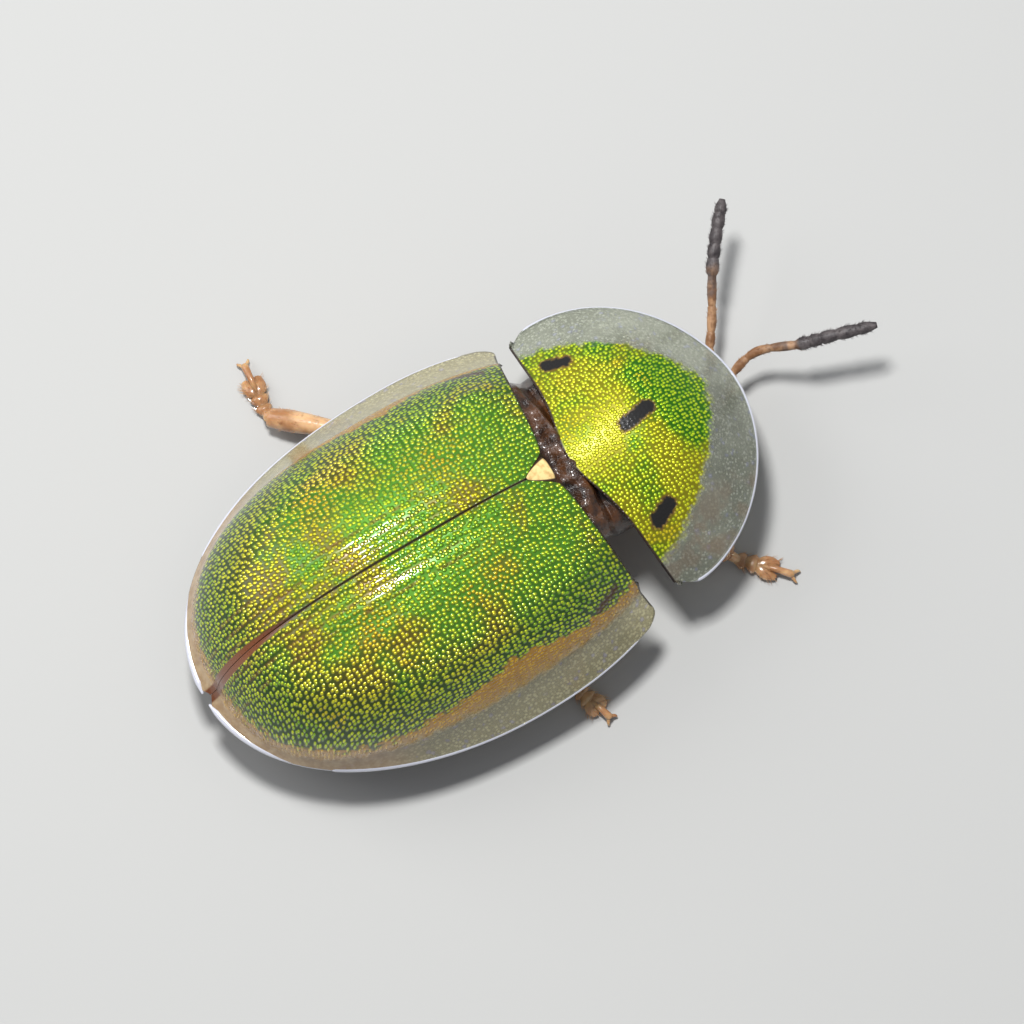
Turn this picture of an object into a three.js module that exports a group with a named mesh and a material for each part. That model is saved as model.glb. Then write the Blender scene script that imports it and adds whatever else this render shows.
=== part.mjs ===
// A tortoise beetle at life size, standing on six feet, with its wing cases closed.
// Millimetres, +Z up. The beetle faces -Y and its left side is at +X.
import * as THREE from "three";
import { mergeVertices } from "three/addons/utils/BufferGeometryUtils.js";

// Driving dimensions. Lengths along the body are counted from the line through the
// shoulders of the wing cases: positive to the rear.
const SEAM = 0.14; // clear gap kept between pieces that touch on the animal
const CASE_HALF_WIDTH = 3.08; // wing cases, centre line to rim
const CASE_LENGTH = 7.22; // shoulder line to rear tip
const CASE_WIDEST = 2.3; // where the wing cases are widest
const CASE_FRONT_AXIS = 4.2; // the outline's front half closes this far ahead of there
const RIM_POWER = 2.15; // 2 is an ellipse, more is squarer
const DISC_HALF_WIDTH = 2.57; // domed part inside the brim
const DISC_WIDEST = 2.9;
const DISC_REAR_BRIM = 0.28; // brim width at the rear tip
const DISC_INSET = 0.42; // the hollow under the dome starts this far inside its foot
const DISC_FRONT_AXIS = 4.4;
const DISC_POWER = 2.5;
const DOME_TOP = 3.74; // above the floor, as the next heights
const FOOT_HEIGHT = 1.86; // foot of the dome
const FOOT_REAR_DROP = 0.3; // the foot comes down by this at the rear tip
const RIM_HEIGHT = 1.28; // top of the outer rim
const RIM_DIP = 0.12; // the rim hangs lower by this along the flanks
const FLANK_AT = 3;
const FLANK_SPREAD = 1.9;
const DOME_FRONT_DROP = 0.17; // share of the dome's height lost at the shoulder line
const CASE_THICK = 0.5;
const RIM_THICK = 0.3;
const SCUTELLUM = { front: 0.52, back: 1.02, halfWidth: 0.27, thick: 0.46 };

const SHIELD_HALF_WIDTH = 2.61; // pronotum, the shield over the head
const SHIELD_LENGTH = 2.84; // hind corners to front edge
const SHIELD_WIDEST = 0.45; // ahead of the hind corners
const SHIELD_POWER = 1.8; // a little more pointed than an ellipse
const SHIELD_SWEEP = 0.2; // the hind edge bows back by this all along
const SHIELD_LOBE = 0.28; // and by this more in a lobe at its middle
const SHIELD_MARGIN_HEIGHT = 1.5;
const SHIELD_DOME_HEIGHT = 1.64;
const SHIELD_AT = new THREE.Vector3(0.03, -0.3, 0);
const SHIELD_YAW = THREE.MathUtils.degToRad(3);

const BELLY_HEIGHT = 1.02; // lowest line of the body above the floor
const WAIST_AT = 2.75; // cut between the chest and the abdomen
const LIMB_RADIUS = 0.25;
const HIP_HEIGHT = 0.57;
const KNEE_HEIGHT = 0.68;
const ANKLE_HEIGHT = 0.36;
const FOOT_LIFT = 0.17; // axis of a foot above the floor, so that its sole is a flat

const COLOURS = {
  wingCase: [0x6f8f1c, 0.3, 0.55],
  shield: [0x9a9f1e, 0.32, 0.5],
  scutellum: [0xe6cf96, 0.5, 0.0],
  dark: [0x3a2414, 0.28, 0.1],
  flesh: [0x8a5a2a, 0.5, 0.0],
  limb: [0xb06a34, 0.38, 0.0],
  feeler: [0x7a5236, 0.6, 0.0],
  eye: [0x14100e, 0.15, 0.0],
};

// Solid building

// A closed surface from points and faces, its faces turned to point out.
function closed(points, faces) {
  let volume = 0;
  for (const [a, b, c] of faces) {
    volume += points[a].dot(new THREE.Vector3().crossVectors(points[b], points[c]));
  }
  const outward = volume < 0 ? faces.map(([a, b, c]) => [a, c, b]) : faces;
  const raw = new THREE.BufferGeometry();
  raw.setAttribute("position", new THREE.Float32BufferAttribute(points.flatMap((p) => p.toArray()), 3));
  raw.setIndex(outward.flat());
  const merged = mergeVertices(raw, 1e-4);
  const index = merged.index.array;
  const kept = [];
  for (let i = 0; i < index.length; i += 3) {
    const [a, b, c] = [index[i], index[i + 1], index[i + 2]];
    if (a !== b && b !== c && c !== a) kept.push(a, b, c);
  }
  merged.setIndex(kept);
  merged.computeVertexNormals();
  return merged;
}

// Skins closed rows of points into one surface. A row of one point is a pole.
function skin(rows) {
  const points = [];
  const starts = rows.map((row) => {
    const start = points.length;
    points.push(...row);
    return start;
  });
  const faces = [];
  for (let k = 0; k + 1 < rows.length; k += 1) {
    const near = rows[k].length;
    const far = rows[k + 1].length;
    const count = Math.max(near, far);
    for (let i = 0; i < count; i += 1) {
      const next = (i + 1) % count;
      const a = starts[k] + (near === 1 ? 0 : i);
      const b = starts[k] + (near === 1 ? 0 : next);
      const c = starts[k + 1] + (far === 1 ? 0 : next);
      const d = starts[k + 1] + (far === 1 ? 0 : i);
      if (near > 1) faces.push([a, b, c]);
      if (far > 1) faces.push([a, c, d]);
    }
  }
  return closed(points, faces);
}

const centre = (row) => row.reduce((sum, p) => sum.add(p), new THREE.Vector3()).divideScalar(row.length);

// Rows closed off by a flat or pointed end at each side.
const capped = (rows) => skin([[centre(rows[0])], ...rows, [centre(rows[rows.length - 1])]]);

function mirrored(geometry) {
  const copy = geometry.clone();
  copy.scale(-1, 1, 1);
  const index = copy.index.array;
  const turned = [];
  for (let i = 0; i < index.length; i += 3) turned.push(index[i], index[i + 2], index[i + 1]);
  copy.setIndex(turned);
  copy.computeVertexNormals();
  return copy;
}

const group = new THREE.Group();

function add(name, geometry, look, parent = group) {
  const [color, roughness, metalness] = COLOURS[look];
  const mesh = new THREE.Mesh(geometry, new THREE.MeshStandardMaterial({ color, roughness, metalness }));
  mesh.name = name;
  parent.add(mesh);
}

// Outlines and surfaces

const signedPower = (value, power) => Math.sign(value) * Math.abs(value) ** power;
const lerp = THREE.MathUtils.lerp;

// A squared ellipse about (0, middle), with its own front and rear half lengths.
function onOutline(angle, { halfWidth, front, rear, middle, power }) {
  const across = signedPower(Math.cos(angle), 2 / power);
  const along = signedPower(Math.sin(angle), 2 / power);
  return new THREE.Vector2(halfWidth * across, middle + (along > 0 ? rear : front) * along);
}

// 0 at the middle of the outline and 1 on it.
function reach(x, y, { halfWidth, front, rear, middle, power }) {
  const along = Math.abs(y - middle) / (y > middle ? rear : front);
  return ((Math.abs(x) / halfWidth) ** power + along ** power) ** (1 / power);
}

// Half width of the outline at one place along the body.
function halfWidthAt(y, { halfWidth, front, rear, middle, power }) {
  const along = Math.abs(y - middle) / (y > middle ? rear : front);
  return halfWidth * Math.max(0, 1 - along ** power) ** (1 / power);
}

const inset = (outline, by) => ({
  ...outline,
  halfWidth: outline.halfWidth - by,
  front: outline.front - by,
  rear: outline.rear - by,
});

const RIM = {
  halfWidth: CASE_HALF_WIDTH - SEAM / 2,
  front: CASE_FRONT_AXIS,
  rear: CASE_LENGTH - CASE_WIDEST,
  middle: CASE_WIDEST,
  power: RIM_POWER,
};
const DISC = {
  halfWidth: DISC_HALF_WIDTH - SEAM / 2,
  front: DISC_FRONT_AXIS,
  rear: CASE_LENGTH - DISC_WIDEST - DISC_REAR_BRIM,
  middle: DISC_WIDEST,
  power: DISC_POWER,
};
const HOLLOW = inset(DISC, DISC_INSET);

const swell = (r) => Math.max(0, 1 - r ** 2.5) ** 0.56;

function footHeight(y) {
  const back = Math.max(0, y - DISC_WIDEST) / (CASE_LENGTH - DISC_WIDEST);
  return FOOT_HEIGHT - FOOT_REAR_DROP * back ** 2;
}

const rimHeight = (y) => RIM_HEIGHT - RIM_DIP * Math.exp(-(((y - FLANK_AT) / FLANK_SPREAD) ** 2));

// From 0 at the foot of the dome to 1 on the rim.
function shareOfBrim(x, y, foot) {
  const r = reach(x, y, foot);
  return Math.min(1, (r - 1) / (r / reach(x, y, RIM) - 1));
}

function frontDrop(y) {
  const ahead = Math.max(0, CASE_WIDEST - y) / CASE_WIDEST;
  return 1 - DOME_FRONT_DROP * ahead ** 2;
}

// Low bump over each shoulder.
function shoulder(x, y) {
  const away = ((x - 1.66) / 0.42) ** 2 + ((y - 0.85) / 0.5) ** 2;
  return 0.12 * Math.exp(-away);
}

// Top of a wing case, and the underside of its dome. Here x starts at the seam.
function caseTop(x, y) {
  const r = reach(x, y, DISC);
  const foot = footHeight(y);
  if (r < 1) return foot + (DOME_TOP - foot) * swell(r) * frontDrop(y) + shoulder(x, y);
  return lerp(foot, rimHeight(y), shareOfBrim(x, y, DISC)) + shoulder(x, y);
}

function caseUnder(x, y) {
  const r = reach(x, y, HOLLOW);
  const foot = footHeight(y) - RIM_THICK;
  if (r < 1) return foot + (DOME_TOP - CASE_THICK - foot) * swell(r) * frontDrop(y);
  return lerp(foot, rimHeight(y) - RIM_THICK, shareOfBrim(x, y, HOLLOW));
}

// Wing cases

// Border of the left wing case in plan: along the scutellum, out along the front edge
// to the rounded shoulder, and round the rim to the rear tip.
const RIM_STEPS = 34;
const RIM_START = -0.47; // angle on the outline where the shoulder ends

function caseBorder() {
  const front = new THREE.SplineCurve([
    new THREE.Vector2(SCUTELLUM.halfWidth + SEAM / 2, SCUTELLUM.front + 0.06),
    new THREE.Vector2(0.9, 0.42),
    new THREE.Vector2(1.45, 0.35),
    new THREE.Vector2(1.95, 0.26),
    new THREE.Vector2(2.4, 0.1),
    new THREE.Vector2(2.56, 0.12),
  ]);
  const border = [
    new THREE.Vector2(0, SCUTELLUM.back + SEAM),
    new THREE.Vector2(SCUTELLUM.halfWidth * 0.55, (SCUTELLUM.back + SCUTELLUM.front) / 2 + SEAM * 0.7),
    ...front.getPoints(14),
  ];
  for (let i = 0; i <= RIM_STEPS; i += 1) {
    border.push(onOutline(lerp(RIM_START, Math.PI / 2, i / RIM_STEPS), RIM));
  }
  return border;
}

// Shares of the way from the top of the dome to its foot, and on to the rim.
const DISC_STEPS = [0.2, 0.38, 0.54, 0.68, 0.79, 0.87, 0.93, 0.975, 1];
const BRIM_STEPS = [0.35, 0.7, 1];

// One face of the wing case: rays from the top of the dome to the border. A ray that
// ends on the front edge, inside the dome, has its steps spread along all of it.
function caseFace(foot, height) {
  const pole = new THREE.Vector2(0, foot.middle);
  return caseBorder().map((end) => {
    const whole = reach(end.x, end.y, foot);
    const shareOfFoot = whole > 1.02 ? 1 / whole : 0.88;
    const shares = [
      ...DISC_STEPS.map((step) => step * shareOfFoot),
      ...BRIM_STEPS.map((step) => lerp(shareOfFoot, 1, step)),
    ];
    return shares.map((share) => {
      const at = pole.clone().lerp(end, share);
      return new THREE.Vector3(at.x, at.y, height(at.x, at.y));
    });
  });
}

function wingCase() {
  const top = caseFace(DISC, caseTop);
  const under = caseFace(HOLLOW, caseUnder);
  const last = top[0].length - 1;
  for (const ray of top) ray[last].z -= RIM_THICK * 0.2; // the rim is rounded
  for (const ray of under) ray[last].z += RIM_THICK * 0.15;
  const topPole = new THREE.Vector3(0, DISC_WIDEST, caseTop(0, DISC_WIDEST));
  const underPole = new THREE.Vector3(0, DISC_WIDEST, caseUnder(0, DISC_WIDEST));
  const points = [];
  const faces = [];
  const put = (...corners) => {
    faces.push(corners.map((corner) => points.push(corner.clone()) - 1));
  };
  const face = (rays, pole, flip) => {
    const lay = (a, b, c) => (flip ? put(a, c, b) : put(a, b, c));
    for (let i = 0; i + 1 < rays.length; i += 1) {
      lay(pole, rays[i][0], rays[i + 1][0]);
      for (let k = 0; k < last; k += 1) {
        lay(rays[i][k], rays[i][k + 1], rays[i + 1][k + 1]);
        lay(rays[i][k], rays[i + 1][k + 1], rays[i + 1][k]);
      }
    }
  };
  face(top, topPole, false);
  face(under, underPole, true);
  // The wall that joins the two faces: down the seam from the front, and round the border.
  const edge = (rays, pole) => [
    pole,
    ...rays[0],
    ...rays.slice(1).map((ray) => ray[last]),
    ...rays[rays.length - 1].slice(0, last).reverse(),
  ];
  const upper = edge(top, topPole);
  const lower = edge(under, underPole);
  for (let i = 0; i < upper.length; i += 1) {
    const next = (i + 1) % upper.length;
    put(upper[i], lower[i], lower[next]);
    put(upper[i], lower[next], upper[next]);
  }
  return closed(points, faces).translate(SEAM / 2, 0, 0);
}

const leftCase = wingCase();
add("elytron_left", leftCase, "wingCase");
add("elytron_right", mirrored(leftCase), "wingCase");

// The small triangular plate between the bases of the wing cases.
function scutellum() {
  const { front, back, halfWidth, thick } = SCUTELLUM;
  const outline = [
    new THREE.Vector2(-halfWidth, front + 0.06),
    new THREE.Vector2(-halfWidth * 0.7, front),
    new THREE.Vector2(halfWidth * 0.7, front),
    new THREE.Vector2(halfWidth, front + 0.06),
    new THREE.Vector2(halfWidth * 0.62, (front + back) / 2 - 0.02),
    new THREE.Vector2(0.04, back),
    new THREE.Vector2(-0.04, back),
    new THREE.Vector2(-halfWidth * 0.62, (front + back) / 2 - 0.02),
  ];
  const geometry = new THREE.ExtrudeGeometry(new THREE.Shape(outline), { depth: thick, bevelEnabled: false });
  return geometry.translate(0, 0, caseTop(0, front) - thick);
}
add("scutellum", scutellum(), "scutellum");

// Shield over the head, drawn about the line of its hind corners: y is negative ahead.

const SHIELD = {
  halfWidth: SHIELD_HALF_WIDTH,
  front: SHIELD_LENGTH - SHIELD_WIDEST,
  rear: 1.35,
  middle: -SHIELD_WIDEST,
  power: SHIELD_POWER,
};
const SHIELD_BACK = SHIELD_SWEEP + SHIELD_LOBE;

function shieldTop(x, y) {
  const along = Math.max(0, SHIELD_BACK - y) / (SHIELD_LENGTH + SHIELD_BACK);
  const across = Math.abs(x) / SHIELD_HALF_WIDTH;
  const r = Math.min(1, (across ** 2.1 + along ** 2.1) ** (1 / 2.1));
  return SHIELD_MARGIN_HEIGHT + SHIELD_DOME_HEIGHT * (1 - r ** 2.2) ** 1.1;
}

function shieldUnder(x, y) {
  const depth = (shieldTop(x, y) - SHIELD_MARGIN_HEIGHT) / SHIELD_DOME_HEIGHT;
  return shieldTop(x, y) - lerp(RIM_THICK, CASE_THICK, Math.min(1, depth * 2.5));
}

// Hind edge of the shield: a shallow bow with a lobe in the middle.
function shieldHindEdge(x) {
  const bow = SHIELD_SWEEP * (1 - (x / SHIELD_HALF_WIDTH) ** 2);
  return bow + SHIELD_LOBE * Math.exp(-((x / 0.85) ** 2));
}

const SHIELD_FRONT_STEPS = 40;
const SHIELD_HIND_STEPS = 22;

function shieldBorder() {
  const border = [];
  const start = 0.35; // angle on the outline just ahead of the left hind corner
  for (let i = 0; i <= SHIELD_FRONT_STEPS; i += 1) {
    const angle = lerp(start, -Math.PI - start, i / SHIELD_FRONT_STEPS);
    const at = onOutline(angle, SHIELD);
    border.push(new THREE.Vector2(at.x, Math.min(at.y, shieldHindEdge(at.x))));
  }
  const corner = -border[0].x;
  for (let i = 1; i < SHIELD_HIND_STEPS; i += 1) {
    const x = lerp(corner, -corner, i / SHIELD_HIND_STEPS);
    border.push(new THREE.Vector2(x, shieldHindEdge(x)));
  }
  return border;
}

const SHIELD_STEPS = [0.18, 0.34, 0.5, 0.64, 0.76, 0.87, 0.95];

function shield() {
  const border = shieldBorder();
  const pole = new THREE.Vector2(0, -SHIELD_WIDEST);
  const ring = (share, height) =>
    border.map((end) => {
      const at = pole.clone().lerp(end, share);
      return new THREE.Vector3(at.x, at.y, height(at.x, at.y));
    });
  return skin([
    [new THREE.Vector3(pole.x, pole.y, shieldTop(pole.x, pole.y))],
    ...SHIELD_STEPS.map((share) => ring(share, shieldTop)),
    ring(1, (x, y) => shieldTop(x, y) - RIM_THICK * 0.2),
    ring(1, (x, y) => shieldUnder(x, y) + RIM_THICK * 0.15),
    ...[...SHIELD_STEPS].reverse().map((share) => ring(share, shieldUnder)),
    [new THREE.Vector3(pole.x, pole.y, shieldUnder(pole.x, pole.y))],
  ]);
}

// Head, shield and first body ring turn together, a little to the beetle's left.
const foreBody = new THREE.Group();
foreBody.position.copy(SHIELD_AT);
foreBody.rotation.z = SHIELD_YAW;
group.add(foreBody);

add("pronotum", shield(), "shield", foreBody);

// Trunk

// A length of the body as rounded sections across it. Each station along the body has
// its half width, and the roof and floor heights are functions of the place.
const SECTION_SIDES = 24;

function trunkLength(stations, widthAt, roof, floor, waist) {
  const section = (y) => {
    const wide = Math.max(widthAt(y), 0.05);
    return Array.from({ length: SECTION_SIDES }, (_, i) => {
      const angle = (i / SECTION_SIDES) * 2 * Math.PI;
      const x = wide * Math.cos(angle);
      const full = Math.abs(Math.sin(angle)) ** 0.62;
      const z = Math.sin(angle) > 0 ? lerp(waist(y), roof(x, y), full) : lerp(waist(y), floor(x, y), full);
      return new THREE.Vector3(x, y, z);
    });
  };
  return capped(stations.map(section));
}

const steps = (from, to, count) => Array.from({ length: count + 1 }, (_, i) => lerp(from, to, i / count));

const CHEST_FRONT = -0.1;
const SADDLE_BACK = 1.15; // rear end of the dark saddle ahead of the wing cases
const SADDLE_SLOPE = 0.14;
const SADDLE_FLOOR = 2.0;
const SADDLE_EDGE = 0.1; // its thickness at the sides
const WAIST_HEIGHT = 1.5;
const TRUNK = inset(HOLLOW, SEAM);

const trunkWidth = (y) => halfWidthAt(y, TRUNK) + SEAM / 2;
const trunkRoof = (x, y) => caseUnder(Math.max(0, Math.abs(x) - SEAM / 2), y) - SEAM;
const trunkWaist = () => WAIST_HEIGHT;

// The belly rises to the rear.
function belly(x, y) {
  const back = Math.max(0, y - WAIST_AT) / (TRUNK.middle + TRUNK.rear - WAIST_AT);
  return lerp(BELLY_HEIGHT, BELLY_HEIGHT + 0.2, back ** 2);
}

// Half width of the saddle at one place: as far out as its roof stays clear of its floor.
function saddleWidth(y) {
  let inside = 0;
  let outside = trunkWidth(y);
  for (let i = 0; i < 24; i += 1) {
    const x = (inside + outside) / 2;
    if (trunkRoof(x, y) > SADDLE_FLOOR + SADDLE_EDGE) inside = x;
    else outside = x;
  }
  return inside;
}

// The dark saddle shows in the gap between the shield and the wing cases.
function mesonotum() {
  const stations = steps(CHEST_FRONT, SADDLE_BACK, 5);
  const under = () => SADDLE_FLOOR;
  const side = () => SADDLE_FLOOR + SADDLE_EDGE / 2;
  return trunkLength(stations, saddleWidth, trunkRoof, under, side);
}

function thorax() {
  const under = steps(CHEST_FRONT, SADDLE_BACK + SEAM / 2, 4);
  const open = steps(SADDLE_BACK + SEAM / 2 + SADDLE_SLOPE, WAIST_AT, 4);
  const lid = (x, y) => (y <= SADDLE_BACK + SEAM ? SADDLE_FLOOR - SEAM : trunkRoof(x, y));
  return trunkLength([...under, ...open], trunkWidth, lid, belly, trunkWaist);
}

function abdomen() {
  const end = TRUNK.middle + TRUNK.rear;
  const rows = Array.from({ length: 13 }, (_, i) => {
    const share = Math.sin((i / 12) * (Math.PI / 2));
    return lerp(WAIST_AT + SEAM, end - 0.02, share);
  });
  return trunkLength(rows, trunkWidth, trunkRoof, belly, trunkWaist);
}

add("mesonotum", mesonotum(), "dark");
add("thorax", thorax(), "flesh");
add("abdomen", abdomen(), "flesh");

// First body ring, under the shield.
const RING = { halfWidth: 1.5, front: 1.3, rear: 1.6, middle: -0.62, power: RIM_POWER };
const RING_BACK = -0.04;
const RING_FRONT = -1.45;

function prothorax() {
  return trunkLength(
    steps(RING_BACK, RING_FRONT, 7),
    (y) => halfWidthAt(y, RING),
    (x, y) => shieldUnder(x, y) - SEAM,
    () => BELLY_HEIGHT - 0.02,
    () => 1.4,
  );
}
add("prothorax", prothorax(), "flesh", foreBody);

// Head, tucked under the front of the shield, drawn in rounds from side to side.
const HEAD = { y: -1.97, z: 1.14, halfLength: 0.38, halfHeight: 0.4, side: 0.52 };
const EYE = { radius: 0.3, bulge: 0.3 };

// Rounds across the body at each x, with their half length and half height.
function rounds(list, y, z, sides) {
  return capped(
    list.map(([x, long, high]) =>
      Array.from({ length: sides }, (_, i) => {
        const angle = (i / sides) * 2 * Math.PI;
        return new THREE.Vector3(x, y + long * Math.cos(angle), z + high * Math.sin(angle));
      }),
    ),
  );
}

function head() {
  const { y, z, halfLength, halfHeight, side } = HEAD;
  const profile = [-1, -0.75, -0.4, 0, 0.4, 0.75, 1].map((share) => {
    const round = Math.sqrt(1 - (0.72 * share) ** 2);
    return [share * side, halfLength * round, halfHeight * round];
  });
  return rounds(profile, y, z, 20);
}

function eye(side) {
  const start = HEAD.side + SEAM * 0.7;
  const profile = [0, 0.3, 0.6, 0.85, 0.98].map((share) => {
    const round = Math.sqrt(1 - share ** 2);
    return [side * (start + share * EYE.bulge), EYE.radius * round, EYE.radius * round];
  });
  return rounds(profile, HEAD.y, HEAD.z, 16);
}

function mouthparts() {
  const low = HEAD.z - HEAD.halfHeight - SEAM;
  const profile = [-0.9, -0.6, -0.2, 0.2, 0.6, 0.9].map((share) => {
    const round = Math.sqrt(1 - share ** 2);
    return [share * 0.32, 0.26 * round + 0.03, 0.15 * round + 0.02];
  });
  return rounds(profile, HEAD.y - 0.06, low - 0.16, 14);
}

add("head", head(), "flesh", foreBody);
add("mouthparts", mouthparts(), "limb", foreBody);
add("eye_left", eye(1), "eye", foreBody);
add("eye_right", eye(-1), "eye", foreBody);

// Feelers and legs

const UP = new THREE.Vector3(0, 0, 1);
const curve = (points) => new THREE.CatmullRomCurve3(points);

// Rows of points round a path. Each station has the share of the path, the half width
// across and the half height.
function limbRows(path, stations, sides) {
  return stations.map(([share, wide, high]) => {
    const at = path.getPointAt(share);
    const along = path.getTangentAt(share);
    const across = new THREE.Vector3().crossVectors(along, UP).normalize();
    const rise = new THREE.Vector3().crossVectors(across, along).normalize();
    return Array.from({ length: sides }, (_, i) => {
      const angle = (i / sides) * 2 * Math.PI;
      return at
        .clone()
        .addScaledVector(across, wide * Math.cos(angle))
        .addScaledVector(rise, high * Math.sin(angle));
    });
  });
}

// Slides a row along its limb onto a plane, so that two limbs meet face to face.
function mitred(row, along, plane) {
  const lean = along.dot(plane.normal);
  return row.map((p) => p.clone().addScaledVector(along, -plane.distanceToPoint(p) / lean));
}

// Eleven joints: six slim ones and a club of five stouter ones.
const FEELER = { joints: 11, club: 5, slim: 0.22, stout: 0.26, tip: 0.09 };
const FEELER_PATHS = {
  left: [[0.44, -2.9, 0.98], [0.64, -3.0, 0.88], [0.9, -3.14, 0.84], [1.26, -3.4, 0.98],
    [1.88, -3.78, 1.3], [2.36, -4.14, 1.46], [2.84, -4.56, 1.56]],
  right: [[-0.06, -2.9, 0.98], [0.12, -3.02, 0.88], [0.33, -3.26, 0.84], [0.39, -3.76, 1.05],
    [0.08, -4.37, 1.32], [-0.09, -4.83, 1.46], [-0.37, -5.64, 1.6]],
};

function feeler(points) {
  const stations = [];
  for (let joint = 0; joint < FEELER.joints; joint += 1) {
    const radius = joint >= FEELER.joints - FEELER.club ? FEELER.stout : FEELER.slim;
    const end = joint === FEELER.joints - 1 ? radius * 0.75 : radius;
    stations.push([joint / FEELER.joints, radius * 0.8, radius * 0.8]);
    stations.push([(joint + 0.35) / FEELER.joints, radius, radius]);
    stations.push([(joint + 0.8) / FEELER.joints, end, end]);
  }
  stations.push([1, FEELER.tip, FEELER.tip]);
  return capped(limbRows(curve(points.map((p) => new THREE.Vector3(...p))), stations, 8));
}

for (const [side, points] of Object.entries(FEELER_PATHS)) {
  add(`antenna_${side}`, feeler(points), "feeler");
}

// Each leg runs from the hip under the body out to the knee, down to the ankle and
// along the foot to the toe, all in plan. The heights are the same for all six.
const LEGS = {
  front_left: { hip: [0.5, -0.95], knee: [1.35, -1.2], ankle: [1.75, -1.6], toe: [1.6, -2.4] },
  front_right: { hip: [-0.45, -0.95], knee: [-1.4, -1.2], ankle: [-2.2, -1.62], toe: [-3.05, -2.42] },
  middle_left: { hip: [0.75, 0.75], knee: [1.6, 0.65], ankle: [2.0, 1.15], toe: [2.65, 0.95] },
  middle_right: { hip: [-0.75, 0.75], knee: [-1.9, 1.25], ankle: [-2.75, 1.75], toe: [-3.55, 1.5] },
  hind_left: { hip: [0.75, 2.25], knee: [2.35, 2.25], ankle: [3.82, 3.75], toe: [4.9, 3.62] },
  hind_right: { hip: [-0.75, 2.25], knee: [-1.75, 2.7], ankle: [-1.95, 3.75], toe: [-2.05, 4.65] },
};

const direction = (from, to) => new THREE.Vector3().subVectors(to, from).normalize();
const between = (from, to, share) => new THREE.Vector3().lerpVectors(from, to, share);

// The plane on which two lengths of a leg meet, and its two faces a seam apart.
function jointFaces(before, at, after) {
  const normal = direction(before, at).add(direction(at, after)).normalize();
  const face = (offset) =>
    new THREE.Plane().setFromNormalAndCoplanarPoint(normal, at.clone().addScaledVector(normal, offset));
  return { near: face(-SEAM / 2), far: face(SEAM / 2) };
}

const LEG_SIDES = 10;
const FEMUR_STATIONS = [[0, 0.6, 0.6], [0.07, 1.1, 1.1], [0.2, 1.24, 1.24], [0.34, 1.05, 1.05],
  [0.6, 1.12, 1.0], [0.85, 1.02, 1.0], [1, 0.96, 0.96]];
const TIBIA_STATIONS = [[0, 0.96, 0.96], [0.18, 0.9, 0.92], [0.6, 1.0, 1.0], [0.82, 1.08, 1.0],
  [1, 1.0, 0.9]];
const TARSUS_STATIONS = [[0, 0.95, 0.86], [0.14, 1.05, 0.9], [0.26, 0.85, 0.82], [0.4, 1.15, 0.88],
  [0.5, 0.84, 0.8], [0.66, 1.22, 0.88], [0.77, 0.8, 0.78], [0.9, 0.8, 0.74], [1, 0.42, 0.44]];

// Stations of one length of a leg. Those that its slanting end faces reach are left out.
function limbStations(stations, length, startReach, endReach) {
  return stations
    .filter(([share]) => share === 0 || share * length > startReach)
    .filter(([share]) => share === 1 || (1 - share) * length > endReach)
    .map(([share, wide, high]) => [share, wide * LIMB_RADIUS, high * LIMB_RADIUS]);
}

// How far a slanting end face reaches along its limb.
const faceReach = (along, { normal }) => SEAM / 2 + 1.2 * LIMB_RADIUS * Math.tan(along.angleTo(normal));

function leg({ hip, knee, ankle, toe }) {
  const at = ([x, y], z) => new THREE.Vector3(x, y, z);
  const a = at(hip, HIP_HEIGHT);
  const b = at(knee, KNEE_HEIGHT);
  const c = at(ankle, ANKLE_HEIGHT);
  const d = at(toe, FOOT_LIFT);
  const flat = between(c, d, 0.35).setZ(FOOT_LIFT);
  const kneeFaces = jointFaces(a, b, c);
  const ankleFaces = jointFaces(b, c, flat);
  const thighPath = curve([a, between(a, b, 0.5), b]);
  const shinPath = curve([b, between(b, c, 0.5), c]);
  const footPath = curve([c, flat, between(c, d, 0.7).setZ(FOOT_LIFT), d]);
  const atKnee = faceReach(direction(a, b), kneeFaces.near);
  const atAnkle = faceReach(direction(b, c), ankleFaces.near);
  const length = (path, stations, startReach, endReach) =>
    limbRows(path, limbStations(stations, path.getLength(), startReach, endReach), LEG_SIDES);
  const thigh = length(thighPath, FEMUR_STATIONS, 0, atKnee);
  const shin = length(shinPath, TIBIA_STATIONS, atKnee, atAnkle);
  const foot = length(footPath, TARSUS_STATIONS, atAnkle, 0);
  const swap = (rows, k, along, plane) => {
    rows[k] = mitred(rows[k], along, plane);
  };
  swap(thigh, thigh.length - 1, direction(a, b), kneeFaces.near);
  swap(shin, 0, direction(b, c), kneeFaces.far);
  swap(shin, shin.length - 1, direction(b, c), ankleFaces.near);
  swap(foot, 0, direction(c, flat), ankleFaces.far);
  // The foot's underside is a small flat on the floor.
  for (const row of foot) for (const p of row) p.z = Math.max(p.z, 0);
  return { femur: capped(thigh), tibia: capped(shin), tarsus: capped(foot) };
}

for (const [name, places] of Object.entries(LEGS)) {
  for (const [piece, geometry] of Object.entries(leg(places))) {
    add(`${piece}_${name}`, geometry, "limb");
  }
}

// The origin is at the middle of the model's base.
const base = new THREE.Box3().setFromObject(group, true);
group.position.set(-(base.min.x + base.max.x) / 2, -(base.min.y + base.max.y) / 2, -base.min.z);

export default group;
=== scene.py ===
# %% [markdown]
# A tortoise beetle, modelled piece by piece in Blender.
# The solids of the beetle are already made, at life size and in metres. They are loaded
# first as a frame, and everything below is fitted to them and never moves them.

# %% Load the frame
import math

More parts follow.
